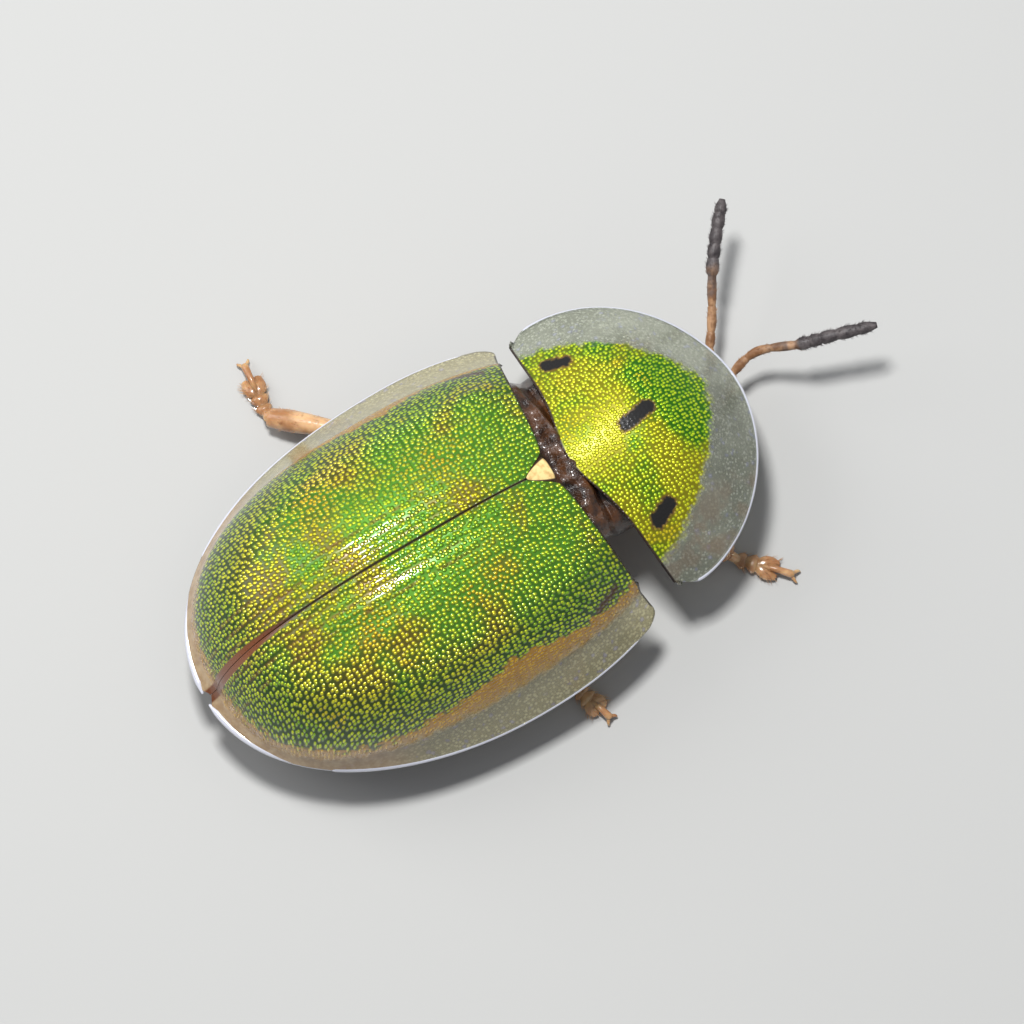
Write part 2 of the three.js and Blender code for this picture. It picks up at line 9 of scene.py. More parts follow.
import bpy
import numpy as np
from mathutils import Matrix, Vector


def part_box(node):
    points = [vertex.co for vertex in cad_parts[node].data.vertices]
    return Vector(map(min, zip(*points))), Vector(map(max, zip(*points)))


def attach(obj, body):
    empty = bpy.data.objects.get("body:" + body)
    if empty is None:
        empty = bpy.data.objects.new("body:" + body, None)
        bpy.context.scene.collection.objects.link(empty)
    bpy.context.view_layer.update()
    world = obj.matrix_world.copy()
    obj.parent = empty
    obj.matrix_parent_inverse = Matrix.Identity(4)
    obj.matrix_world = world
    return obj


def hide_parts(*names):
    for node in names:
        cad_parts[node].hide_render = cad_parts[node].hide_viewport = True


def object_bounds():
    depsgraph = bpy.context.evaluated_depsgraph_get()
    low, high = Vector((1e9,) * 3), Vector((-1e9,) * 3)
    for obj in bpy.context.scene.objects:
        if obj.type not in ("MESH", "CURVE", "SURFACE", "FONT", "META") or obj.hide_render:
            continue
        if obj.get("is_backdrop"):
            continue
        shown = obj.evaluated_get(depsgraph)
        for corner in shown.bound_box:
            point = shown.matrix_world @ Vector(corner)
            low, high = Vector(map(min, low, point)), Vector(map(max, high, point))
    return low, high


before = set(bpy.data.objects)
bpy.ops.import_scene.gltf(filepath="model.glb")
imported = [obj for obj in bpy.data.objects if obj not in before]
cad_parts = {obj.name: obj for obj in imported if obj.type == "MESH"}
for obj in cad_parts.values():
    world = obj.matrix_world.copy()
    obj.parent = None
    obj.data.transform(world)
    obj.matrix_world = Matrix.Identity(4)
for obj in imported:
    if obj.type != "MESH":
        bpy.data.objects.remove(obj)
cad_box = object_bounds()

print("solids in the frame:", len(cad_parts))

# %% [markdown]
# The beetle is about ten millimetres long, so all sizes below are in millimetres, and one
# helper turns them into Blender's metres. They are counted from the middle of the line
# through the shoulders of the wing cases: +X to the beetle's left, +Y to its rear, +Z up.
# That place is worked out from the boxes of the two wing cases in the frame, so the
# pieces sit where the solids are.

# %% Sizes and places
MM = 0.001
left_low, left_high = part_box("elytron_left")
_, right_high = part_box("elytron_right")
CASE_LENGTH = 7.22
SEAM_X = (left_low[0] + right_high[0]) / 2 / MM
SHOULDER_Y = left_high[1] / MM - CASE_LENGTH
CASE_HALF_WIDTH = left_high[0] / MM - SEAM_X
CASE_WIDEST = 2.3
DISC_WIDEST = 2.9
DOME_TOP = 3.74
FOOT_HEIGHT = 1.87
FOOT_REAR_DROP = 0.3
RIM_HEIGHT = 1.28
RIM_DIP = 0.18
SCUTELLUM_FRONT = 0.54
SCUTELLUM_BACK = 1.02
SCUTELLUM_HALF = 0.23
SEAM_START = SCUTELLUM_BACK + 0.03

SHIELD_HALF_WIDTH = 2.61
SHIELD_LENGTH = 2.84
SHIELD_WIDEST = 0.45
SHIELD_SWEEP = 0.2
SHIELD_LOBE = 0.28
SHIELD_MARGIN_HEIGHT = 1.5
SHIELD_DOME_HEIGHT = 1.5
SHIELD_APEX = -0.7
SHIELD_REAR_SLOPE = 5.5
SHIELD_AT = (0.03, -0.3)
SHIELD_YAW = math.radians(3)
YAW_COS = math.cos(SHIELD_YAW)
YAW_SIN = math.sin(SHIELD_YAW)
SHELL = 0.07


def to_row(x, y, z):
    """Beetle millimetres to row metres, as an array of points."""
    return np.stack([(x + SEAM_X) * MM, (y + SHOULDER_Y) * MM, z * MM], axis=-1)


def turned(x, y):
    """A place drawn on the shield, turned with the shield and set where it is."""
    return SHIELD_AT[0] + x * YAW_COS - y * YAW_SIN, SHIELD_AT[1] + x * YAW_SIN + y * YAW_COS


def turned_row(x, y, z):
    x, y = turned(x, y)
    return to_row(x, y, z)


print("half width of the wing cases, mm:", round(CASE_HALF_WIDTH, 3))

# %% [markdown]
# Every piece starts as a grid primitive, a sheet of small squares. Two ways of laying a
# sheet give nearly all of a beetle: a plate is a sheet stretched between two edges, and a
# limb is a sheet rolled into a tube. Shaping the points by a rule keeps both sides of the
# animal alike, which pushing points by hand doesn't.

# %% Helpers for modelling


def clear_selection():
    if bpy.context.object and bpy.context.object.mode != "OBJECT":
        bpy.ops.object.mode_set(mode="OBJECT")
    bpy.ops.object.select_all(action="DESELECT")


def only(piece):
    """Selects one piece and makes it the active one."""
    clear_selection()
    piece.select_set(True)
    bpy.context.view_layer.objects.active = piece


def named(name):
    piece = bpy.context.object
    piece.name = name
    piece.data.name = name
    return piece


def read_points(piece):
    points = np.empty(len(piece.data.vertices) * 3)
    piece.data.vertices.foreach_get("co", points)
    return points.reshape(-1, 3)


def write_points(piece, points):
    piece.data.vertices.foreach_set("co", np.ascontiguousarray(points).ravel())
    piece.data.update()


def sheet(name, across, along, place):
    """A grid of points, each put where place(u, v) says, u along and v across, 0 to 1."""
    clear_selection()
    bpy.ops.mesh.primitive_grid_add(x_subdivisions=along, y_subdivisions=across, size=1)
    piece = named(name)
    flat = read_points(piece)
    write_points(piece, place(flat[:, 0] + 0.5, flat[:, 1] + 0.5))
    return piece


def weld(piece, gap=0.0004):
    """Merges points that lie on each other and turns the faces to point out."""
    only(piece)
    bpy.ops.object.mode_set(mode="EDIT")
    bpy.ops.mesh.select_all(action="SELECT")
    bpy.ops.mesh.remove_doubles(threshold=gap * MM)
    bpy.ops.mesh.normals_make_consistent(inside=False)
    bpy.ops.object.mode_set(mode="OBJECT")


def face_up(piece):
    """Turns an open sheet over if most of it faces down."""
    normals = np.empty(len(piece.data.polygons) * 3)
    piece.data.polygons.foreach_get("normal", normals)
    if normals.reshape(-1, 3)[:, 2].sum() < 0:
        only(piece)
        bpy.ops.object.mode_set(mode="EDIT")
        bpy.ops.mesh.select_all(action="SELECT")
        bpy.ops.mesh.flip_normals()
        bpy.ops.object.mode_set(mode="OBJECT")


def plate(name, across, along, place):
    """An open sheet that faces up, with the points that lie on each other merged."""
    piece = sheet(name, across, along, place)
    weld(piece)
    face_up(piece)
    return piece


def apply_modifier(piece, kind, **settings):
    only(piece)
    modifier = piece.modifiers.new(kind.title(), kind)
    for key, value in settings.items():
        setattr(modifier, key, value)
    bpy.ops.object.modifier_apply(modifier=modifier.name)


def smooth(piece):
    only(piece)
    bpy.ops.object.shade_smooth()


def rolled(name, across, along, place):
    """A sheet whose two sides meet, merged along them."""
    piece = sheet(name, across, along, place)
    weld(piece)
    smooth(piece)
    return piece


def shell(piece, thick=SHELL):
    """Gives an open sheet its wall, downwards, and smooth shading."""
    apply_modifier(piece, "SOLIDIFY", thickness=thick * MM, offset=-1)
    smooth(piece)


def ride(piece, slot, material, *replaced):
    """Finishes a piece: its material, what it rides on and the solids that it stands for."""
    piece.data.materials.clear()
    piece.data.materials.append(material)
    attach(piece, "root")
    if replaced:
        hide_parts(*replaced)


def join(name, pieces):
    clear_selection()
    for piece in pieces:
        piece.select_set(True)
    bpy.context.view_layer.objects.active = pieces[0]
    bpy.ops.object.join()
    return named(name)


def note(piece, name, values):
    """Writes one number for each point, which a material can read by name."""
    layer = piece.data.attributes.new(name, "FLOAT", "POINT")
    layer.data.foreach_set("value", np.asarray(values, dtype=np.float32))


def places(piece):
    """The piece's points in beetle millimetres."""
    x, y, z = read_points(piece).T / MM
    return x - SEAM_X, y - SHOULDER_Y, z


def to_mark(x, y, start, end, half_width):
    """How far places lie from a short bar drawn on the surface, below 0 inside it."""
    (ax, ay), (bx, by) = start, end
    along = ((x - ax) * (bx - ax) + (y - ay) * (by - ay)) / ((bx - ax) ** 2 + (by - ay) ** 2)
    share = np.clip(along, 0, 1)
    return np.hypot(x - ax - share * (bx - ax), y - ay - share * (by - ay)) - half_width


def bell(value, at, spread):
    return np.exp(-(((value - at) / spread) ** 2))


def oval(x, y, at, spread):
    """1 in the middle of an oval patch, and less and less away from it."""
    return bell(x, at[0], spread[0]) * bell(y, at[1], spread[1])


print("helpers ready")

# %% [markdown]
# Outlines are squared ellipses, a little fuller than a plain ellipse, as the beetle's are.
# The reach of a place is 0 at the middle of the outline and 1 on it, which makes it easy
# to say how high the dome stands there.

# %% Outlines
# Half width, length ahead of the widest place, length behind it, that place, squareness.
RIM = (CASE_HALF_WIDTH, 4.2, CASE_LENGTH - CASE_WIDEST, CASE_WIDEST, 2.15)
DISC = (2.57, 4.4, CASE_LENGTH - DISC_WIDEST - 0.28, DISC_WIDEST, 2.5)


def signed_power(value, power):
    return np.sign(value) * np.abs(value) ** power


def on_outline(angle, outline):
    half, front, rear, middle, power = outline
    along = signed_power(np.sin(angle), 2 / power)
    across = signed_power(np.cos(angle), 2 / power)
    return half * across, middle + np.where(along > 0, rear, front) * along


def reach(x, y, outline):
    half, front, rear, middle, power = outline
    along = np.abs(y - middle) / np.where(y > middle, rear, front)
    return np.maximum(((np.abs(x) / half) ** power + along**power) ** (1 / power), 1e-3)


def blend_up(a, b, soft):
    """The larger of two heights, with the crease between them rounded."""
    share = np.clip(0.5 + (a - b) / (2 * soft), 0, 1)
    return b + (a - b) * share + soft * share * (1 - share)


def along_path(points, share):
    """Places on a chain of points, by share of its whole length."""
    points = np.asarray(points, dtype=float)
    lengths = np.linalg.norm(np.diff(points, axis=0), axis=1)
    marks = np.concatenate([[0], np.cumsum(lengths)]) / lengths.sum()
    return [np.interp(share, marks, points[:, k]) for k in range(points.shape[1])]


def smooth_path(points, count=60):
    """A rounded curve through a few points (Catmull and Rom's rule)."""
    p = np.asarray(points, dtype=float)
    p = np.vstack([2 * p[0] - p[1], p, 2 * p[-1] - p[-2]])
    spans = len(p) - 3
    t = np.linspace(0, spans, count)
    i = np.minimum(t.astype(int), spans - 1)
    s = (t - i)[:, None]
    a, b, c, d = p[i], p[i + 1], p[i + 2], p[i + 3]
    bend = (2 * a - 5 * b + 4 * c - d) * s**2 + (3 * b - 3 * c + d - a) * s**3
    return 0.5 * (2 * b + (c - a) * s + bend)


print("rim outline, mm:", [round(v, 2) for v in RIM])

# %% [markdown]
# The wing cases are two stiff shells that close along a straight seam. Each has a domed
# disc, a clear brim that slopes down all round it and a rounded bead on its rim. The
# dome and the brim are two heights, and the larger of them is taken with the crease
# rounded, which gives the soft gutter at the foot of the dome. Low ridges run beside the
# seam, and the dome is slightly uneven, so that a highlight on it breaks up.

# %% Height of the wing cases
DOME_SINK = 0.1
DOME_SPREAD = 1.01
DOME_FRONT_DROP = 0.17
DOME_SQUARENESS = 2.5
DOME_FULLNESS = 0.52
DOME_WALL = 6.0
APEX_TILT = 0.03
# Distance from the seam, half width and height of each ridge.
RIDGES = [(0.09, 0.04, 0.02), (0.27, 0.05, 0.016), (0.5, 0.06, 0.01)]
SHOULDER_AT = (1.68, 0.85)
SHOULDER_SPREAD = (0.42, 0.5)
SHOULDER_RISE = 0.11
BRIM_SAG = 0.03
GUTTER_ROUNDING = 0.05
CREASE = ((2.14, 0.58), (2.32, 1.02))
CREASE_DEPTH = 0.025
UNEVEN = 0.007
WAVE_COUNT = 9
rng = np.random.default_rng(7)
wave_across = rng.uniform(4, 13, WAVE_COUNT)
wave_along = rng.uniform(-1, 1, WAVE_COUNT) * 6
wave_shift = rng.uniform(0, 2 * math.pi, WAVE_COUNT)
WAVES = np.column_stack([wave_across, wave_along, wave_shift])


def foot_height(y):
    back = np.clip(y - DISC_WIDEST, 0, None) / (CASE_LENGTH - DISC_WIDEST)
    return FOOT_HEIGHT - FOOT_REAR_DROP * back**2


def rim_height(y):
    return RIM_HEIGHT - RIM_DIP * bell(y, 3.0, 1.9)


def share_of_brim(x, y):
    r = reach(x, y, DISC)
    return np.clip((r - 1) / np.maximum(r / reach(x, y, RIM) - 1, 0.02), 0, 1)


def dome_details(x, y):
    """Ridges beside the seam, the shoulder with its crease, and slight unevenness."""
    x = np.abs(x)
    fade = np.clip((y - 1.2) / 0.8, 0, 1) * np.clip((7.0 - y) / 1.2, 0, 1)
    ridges = sum(height * bell(x, at, half) for at, half, height in RIDGES) * fade
    shoulder = SHOULDER_RISE * oval(x, y, SHOULDER_AT, SHOULDER_SPREAD)
    waves = sum(np.sin(a * x + b * y * 0.4 + c) for a, b, c in WAVES) * UNEVEN / 3
    crease = CREASE_DEPTH * bell(to_mark(x, y, *CREASE, 0.0), 0, 0.07)
    return ridges + shoulder + waves - crease


def case_height(x, y):
    r = reach(x, y, DISC)
    foot = foot_height(y)
    ahead = np.clip(CASE_WIDEST - y, 0, None) / CASE_WIDEST
    drop = 1 - DOME_FRONT_DROP * ahead**2
    inside = np.clip(1 - (r / DOME_SPREAD) ** DOME_SQUARENESS, 0, None)
    dome = foot + ((DOME_TOP - foot + DOME_SINK) * inside**DOME_FULLNESS - DOME_SINK) * drop
    dome += (dome_details(x, y) + APEX_TILT * (y - DISC_WIDEST)) * np.clip((1 - r) / 0.2, 0, 1)
    dome -= DOME_WALL * np.clip(r - 1, 0, None)
    span = share_of_brim(x, y)
    brim = foot + (rim_height(y) - foot) * span - BRIM_SAG * np.sin(np.pi * span)
    return blend_up(dome, brim, GUTTER_ROUNDING)


# From the seam, round the scutellum and out to the corner of the shoulder.
FRONT_EDGE = [
    (0.0, SEAM_START), (0.12, 0.86), (SCUTELLUM_HALF + 0.04, 0.6), (0.42, 0.5), (0.95, 0.42),
    (1.5, 0.35), (2.0, 0.26), (2.42, 0.12), (2.58, 0.08), (2.7, 0.18),
]
RIM_START = -0.47
NOTCH = 0.1


def case_border(count=400):
    front = smooth_path(FRONT_EDGE, 120)
    angles = np.linspace(RIM_START, math.pi / 2, count)
    x, y = on_outline(angles, RIM)
    y = y - NOTCH * bell(x, 0, 0.13)
    return np.vstack([front[:-1], np.column_stack([x, y])])


print("dome above the floor, mm:", round(float(case_height(0.0, DISC_WIDEST)), 2))

# %% [markdown]
# The beads on the shell lie in even rows that follow its surface. So each point also gets
# its place on the unrolled surface: how far it is along the curve of the dome from the
# seam, and from the front. A material that reads these two numbers keeps the beads as
# large on the steep flanks as on top.

# %% A wing case
# Middle and size of each orange patch on the back.
ORANGE_PATCHES = [
    ((1.06, 2.22), (0.32, 0.55)),
    ((-1.16, 2.59), (0.36, 0.6)),
    ((1.5, 4.3), (0.4, 0.6)),
    ((-0.9, 4.6), (0.4, 0.5)),
]
DOT = (-2.3, 4.76)
DOT_RADIUS = 0.045
CREASE_HALF_WIDTH = 0.03
SEAM_GAP = 0.006


def unroll_table(x, y):
    z = case_height(x, y)
    steps = np.sqrt(np.diff(x) ** 2 + np.diff(y) ** 2 + np.diff(z) ** 2)
    return np.concatenate([[0], np.cumsum(steps)])


table_x = np.linspace(0, CASE_HALF_WIDTH, 400)
table_y = np.linspace(-0.1, CASE_LENGTH, 600)
unrolled_x = unroll_table(table_x, np.full_like(table_x, DISC_WIDEST))
unrolled_y = unroll_table(np.full_like(table_y, 0.7), table_y)


def wing_case(name, side):
    border = case_border()
    seam_length = CASE_LENGTH - NOTCH - SEAM_START

    def place(u, v):
        seam_y = SEAM_START + seam_length * u**1.25
        edge_x, edge_y = along_path(border, u)
        share = 1 - (1 - v) ** 1.15
        x = edge_x * share
        y = seam_y + (edge_y - seam_y) * share
        return to_row(side * (x + SEAM_GAP), y, case_height(x, y))

    piece = plate(name, 110, 240, place)
    x, y, _ = places(piece)
    out = np.abs(x)
    r = reach(x, y, DISC)
    length = np.hypot(x, y - DISC_WIDEST)
    note(piece, "foot_mm", length * (1 - 1 / r))
    note(piece, "seam_mm", out)
    note(piece, "back_mm", y)
    note(piece, "depth", r)
    note(piece, "grain_x", np.interp(out, table_x, unrolled_x))
    note(piece, "grain_y", np.interp(y, table_y, unrolled_y))
    note(piece, "orange", sum(oval(x, y, *patch) for patch in ORANGE_PATCHES))
    note(piece, "crease_mm", to_mark(out, y, *CREASE, CREASE_HALF_WIDTH))
    # The dark front edge runs from the scutellum to the shoulder, and not beyond them.
    edge_y = np.interp(out, *smooth_path(FRONT_EDGE[2:-1]).T)
    note(piece, "front_mm", np.where(out < 2.55, y - edge_y, 1) + 0.2 * (out < 0.3))
    note(piece, "dot_mm", np.hypot(x - DOT[0], y - DOT[1]) - DOT_RADIUS)
    shell(piece)
    return piece


print("length of the curve over one wing case, mm:", round(unrolled_x[-1], 2))

# %% [markdown]
# The camera looks down on the beetle from its right, as the photo does: 76 degrees up, so
# that a little more of the right side shows. The floor is plain and pale. The light is a
# soft box nearly overhead, which gives the white streaks beside the seam, a broad weak
# panel from the side, and a pale sky.

# %% Camera, floor and lights
PHOTO_PX_PER_MM = 60
PHOTO_SIZE_PX = 1024
AIM = (0.11, 1.22, 1.2)
CAMERA_FAR = 130
SENSOR_MM = 36
TILT = math.radians(13.8)
UP_IN_PHOTO = (0.855, -0.518)


def camera():
    back = math.sin(TILT) * CAMERA_FAR * MM
    rise = math.cos(TILT) * CAMERA_FAR * MM
    at = to_row(*AIM) + np.array([-UP_IN_PHOTO[0] * back, -UP_IN_PHOTO[1] * back, rise])
    clear_selection()
    bpy.ops.object.camera_add(location=at)
    cam = bpy.context.object
    cam.name = "camera"
    cam.data.sensor_width = SENSOR_MM
    cam.data.lens = SENSOR_MM * CAMERA_FAR / (PHOTO_SIZE_PX / PHOTO_PX_PER_MM)
    cam.data.clip_start = 0.001
    turn = math.atan2(UP_IN_PHOTO[1], UP_IN_PHOTO[0]) - math.pi / 2
    cam.rotation_euler = (TILT, 0, turn)
    bpy.context.scene.camera = cam
    return cam


cam = camera()

clear_selection()
bpy.ops.mesh.primitive_plane_add(size=0.6, location=(0, 0, 0))
floor = named("floor")
floor_material = bpy.data.materials.new("floor")
floor_material.use_nodes = True
floor_shader = floor_material.node_tree.nodes["Principled BSDF"]
floor_shader.inputs["Base Color"].default_value = (0.46, 0.46, 0.447, 1)
floor_shader.inputs["Roughness"].default_value = 0.75
floor.data.materials.append(floor_material)
floor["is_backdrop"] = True


def panel(name, at_mm, size_mm, power):
    """A square light panel at a place, facing the beetle."""
    at = to_row(*at_mm)
    clear_selection()
    bpy.ops.object.light_add(type="AREA", location=at)
    light = bpy.context.object
    light.name = name
    light.data.shape = "SQUARE"
    light.data.size = size_mm * MM
    light.data.energy = power
    light.rotation_euler = Vector(to_row(*AIM) - at).to_track_quat("-Z", "Y").to_euler()


panel("panel_over", (19, 1, 80), 13, 0.074)
panel("panel_side", (60, 50, 60), 60, 0.03)

world = bpy.data.worlds.new("sky")
world.use_nodes = True
sky = world.node_tree.nodes["Background"]
sky.inputs["Color"].default_value = (0.9, 0.93, 1.0, 1)
sky.inputs["Strength"].default_value = 0.34
bpy.context.scene.world = world
bpy.context.scene.view_settings.view_transform = "Standard"
print("camera above the floor, mm:", round(cam.location[2] / MM, 1))

# %% [markdown]
# A material is a small graph of nodes that all end in one Principled shader. The helper
# below adds a node and sets or links its inputs in one line, so the graph reads like a
# recipe. Patterns read Object coordinates, or the numbers noted on the points.

# %% Helpers for materials


class Recipe:
    """A material and short ways to add nodes to it."""

    def __init__(self, name, **settings):
        self.material = bpy.data.materials.new(name)
        self.material.use_nodes = True
        self.tree = self.material.node_tree
        self.shader = self.tree.nodes["Principled BSDF"]
        self.coords = self.node("ShaderNodeTexCoord").outputs["Object"]
        self.set(**settings)

    def node(self, kind, **inputs):
        made = self.tree.nodes.new(kind)
        for key, value in inputs.items():
            self.feed(made.inputs[key.replace("_", " ")], value)
        return made

    def feed(self, socket, value):
        if isinstance(value, bpy.types.NodeSocket):
            self.tree.links.new(value, socket)
        elif isinstance(value, tuple) and socket.type == "RGBA" and len(value) == 3:
            socket.default_value = (*value, 1)
        else:
            socket.default_value = value

    def set(self, **settings):
        for key, value in settings.items():
            self.feed(self.shader.inputs[key.replace("_", " ")], value)

    def read(self, name):
        made = self.node("ShaderNodeAttribute")
        made.attribute_name = name
        return made.outputs["Fac"]

    def ramp(self, value, low, high, to_low=0.0, to_high=1.0):
        made = self.node("ShaderNodeMapRange")
        made.interpolation_type = "SMOOTHSTEP"
        for index, item in enumerate((value, low, high, to_low, to_high)):
            self.feed(made.inputs[index], item)
        return made.outputs["Result"]

    def math(self, operation, a, b=0.0):
        made = self.node("ShaderNodeMath")
        made.operation = operation
        self.feed(made.inputs[0], a)
        self.feed(made.inputs[1], b)
        return made.outputs[0]

    def mix_number(self, share, a, b):
        """From one number to another."""
        made = self.node("ShaderNodeMix")
        for index, item in ((0, share), (2, a), (3, b)):
            self.feed(made.inputs[index], item)
        return made.outputs[0]

    def gauss(self, value, at, spread):
        """A bell curve of one number, 1 at its middle."""
        away = self.math("DIVIDE", self.math("SUBTRACT", value, at), spread)
        return self.math("POWER", math.e, self.times(self.times(away, away), -1.0))

    def add(self, a, b):
        return self.math("ADD", a, b)

    def times(self, a, b):
        return self.math("MULTIPLY", a, b)

    def rest(self, a):
        return self.math("SUBTRACT", 1.0, a)

    def larger(self, a, b):
        return self.math("MAXIMUM", a, b)

    def mix(self, share, a, b):
        """From one colour to another."""
        made = self.node("ShaderNodeMix")
        made.data_type = "RGBA"
        for index, item in ((0, share), (6, a), (7, b)):
            self.feed(made.inputs[index], item)
        return made.outputs[2]

    def noise(self, scale, detail=3.0, roughness=0.55, vector=None):
        made = self.node("ShaderNodeTexNoise", Scale=scale, Detail=detail, Roughness=roughness)
        self.feed(made.inputs["Vector"], vector or self.coords)
        return made.outputs["Fac"]

    def blotches(self, scale, detail, low, high, to_low=0.0, to_high=1.0):
        """Soft blotches of noise, with edges between two levels of it."""
        return self.ramp(self.noise(scale, detail), low, high, to_low, to_high)

    def shifted(self, by):
        """The same coordinates some way off, for a second pattern of its own."""
        made = self.node("ShaderNodeMapping", Vector=self.coords)
        made.inputs["Location"].default_value = (by, by, 0)
        return made.outputs["Vector"]

    def cells(self, scale, randomness, place=None):
        """Distance to the middle of the nearest cell, and one random number for each cell."""
        made = self.node("ShaderNodeTexVoronoi")
        if place:
            made.voronoi_dimensions = "2D"
        self.feed(made.inputs["Vector"], place or self.coords)
        self.feed(made.inputs["Scale"], scale)
        self.feed(made.inputs["Randomness"], randomness)
        tint = self.node("ShaderNodeSeparateColor", Color=made.outputs["Color"])
        return made.outputs["Distance"], tint.outputs[0]

    def flat_place(self, x, y, stretch_x, stretch_y):
        """A place on the unrolled surface, from two numbers noted on the points."""
        x, y = self.times(self.read(x), stretch_x), self.times(self.read(y), stretch_y)
        return self.node("ShaderNodeCombineXYZ", X=x, Y=y).outputs[0]

    def bump(self, height, strength, distance_mm):
        made = self.node("ShaderNodeBump", Strength=strength, Distance=distance_mm * MM, Height=height)
        return made.outputs["Normal"]


print("material helpers ready")

# %% [markdown]
# The colour of the wing cases is metallic: thin layers in the shell reflect green or gold
# light. It lies on thousands of tiny beads in rows, each a little different. The valleys
# between them are painted darker green, and darker still towards the flanks: painted
# shade. The disc is partly metal, with a clear coat. Towards the brim the metal gives way
# to an ochre band with a wavy edge, and then to clear horn that shows what lies under it.
# A cell texture gives the beads, as one cell is one bead.

# %% Material of the wing cases
CASE_BEADS_PER_MM = 12.3
SHIELD_BEADS_PER_MM = 15.0
GROOVES_FROM_SEAM = (0.18, 0.39, 0.62)


def beaded(m, per_mm):
    """Bead share, 1 on top of a bead and 0 in the valleys, and a number for each bead."""
    near, tint = m.cells(per_mm, 0.62, m.flat_place("grain_x", "grain_y", 1.08, 0.94))
    return m.ramp(near, 0.12, 0.52, 1.0, 0.0), tint


def gold_and_green(m, bead, tint, back, depth):
    """Beads of gold or green with orange patches, and darker valleys between them as painted shade, near
    black on the flanks.
    """
    broad = m.noise(900, 4.0, 0.6)
    gold_share = m.ramp(m.add(broad, m.ramp(back, 1.5, 5.5, -0.1, 0.06)), 0.4, 0.6)
    gold_share = m.times(gold_share, m.ramp(depth, 0.72, 0.98, 1.0, 0.15))
    green = m.mix(tint, (0.2, 0.46, 0.005), (0.72, 0.88, 0.015))
    gold = m.mix(tint, (0.62, 0.58, 0.004), (1.0, 0.86, 0.015))
    colour = m.mix(gold_share, green, gold)
    patches = m.times(m.read("orange"), m.blotches(2600, 3.0, 0.3, 0.55))
    stray = m.times(m.ramp(m.noise(1300, 4.0, vector=m.shifted(0.03)), 0.6, 0.72), 0.6)
    colour = m.mix(m.times(m.larger(patches, stray), 0.8), colour, (0.95, 0.52, 0.006))
    # Painted shade: the valleys are darker than the beads, and near black towards the flanks.
    valley_shade = m.mix(gold_share, (0.06, 0.2, 0.003), (0.12, 0.1, 0.003))
    valley_shade = m.mix(m.ramp(depth, 0.6, 0.95, 0.0, 0.85), valley_shade, (0.006, 0.03, 0.001))
    return m.mix(bead, valley_shade, colour)


def grooves(m, seam, back):
    """Broken brown lines between the ridges, from the middle of the case to its rear."""
    lines = 0.0
    for at in GROOVES_FROM_SEAM:
        off = m.math("ABSOLUTE", m.math("SUBTRACT", seam, at))
        lines = m.add(lines, m.ramp(off, 0.015, 0.05, 0.55, 0.0))
    return m.times(lines, m.times(m.ramp(back, 1.6, 3.0), m.blotches(4200, 2.0, 0.35, 0.6)))


def clear_brim(m, back):
    """Horn with a fine net in it, blue flecks of painted glint, tan at the rear, and one dark dot."""
    net, tint = m.cells(15000, 0.9)
    clear = m.mix(m.ramp(net, 0.2, 0.55), (0.74, 0.69, 0.42), (0.46, 0.42, 0.24))
    # Painted glints: a few cells of the net are turned blue.
    clear = m.mix(m.ramp(tint, 0.95, 0.97, 0.0, 0.3), clear, (0.36, 0.36, 0.95))
    tan = m.mix(m.blotches(5000, 2.0, 0.35, 0.65), (0.4, 0.24, 0.12), (0.55, 0.38, 0.22))
    clear = m.mix(m.times(m.ramp(back, 4.3, 5.4), 0.85), clear, tan)
    return m.mix(m.ramp(m.read("dot_mm"), -0.01, 0.02, 1.0, 0.0), clear, (0.01, 0.008, 0.008))


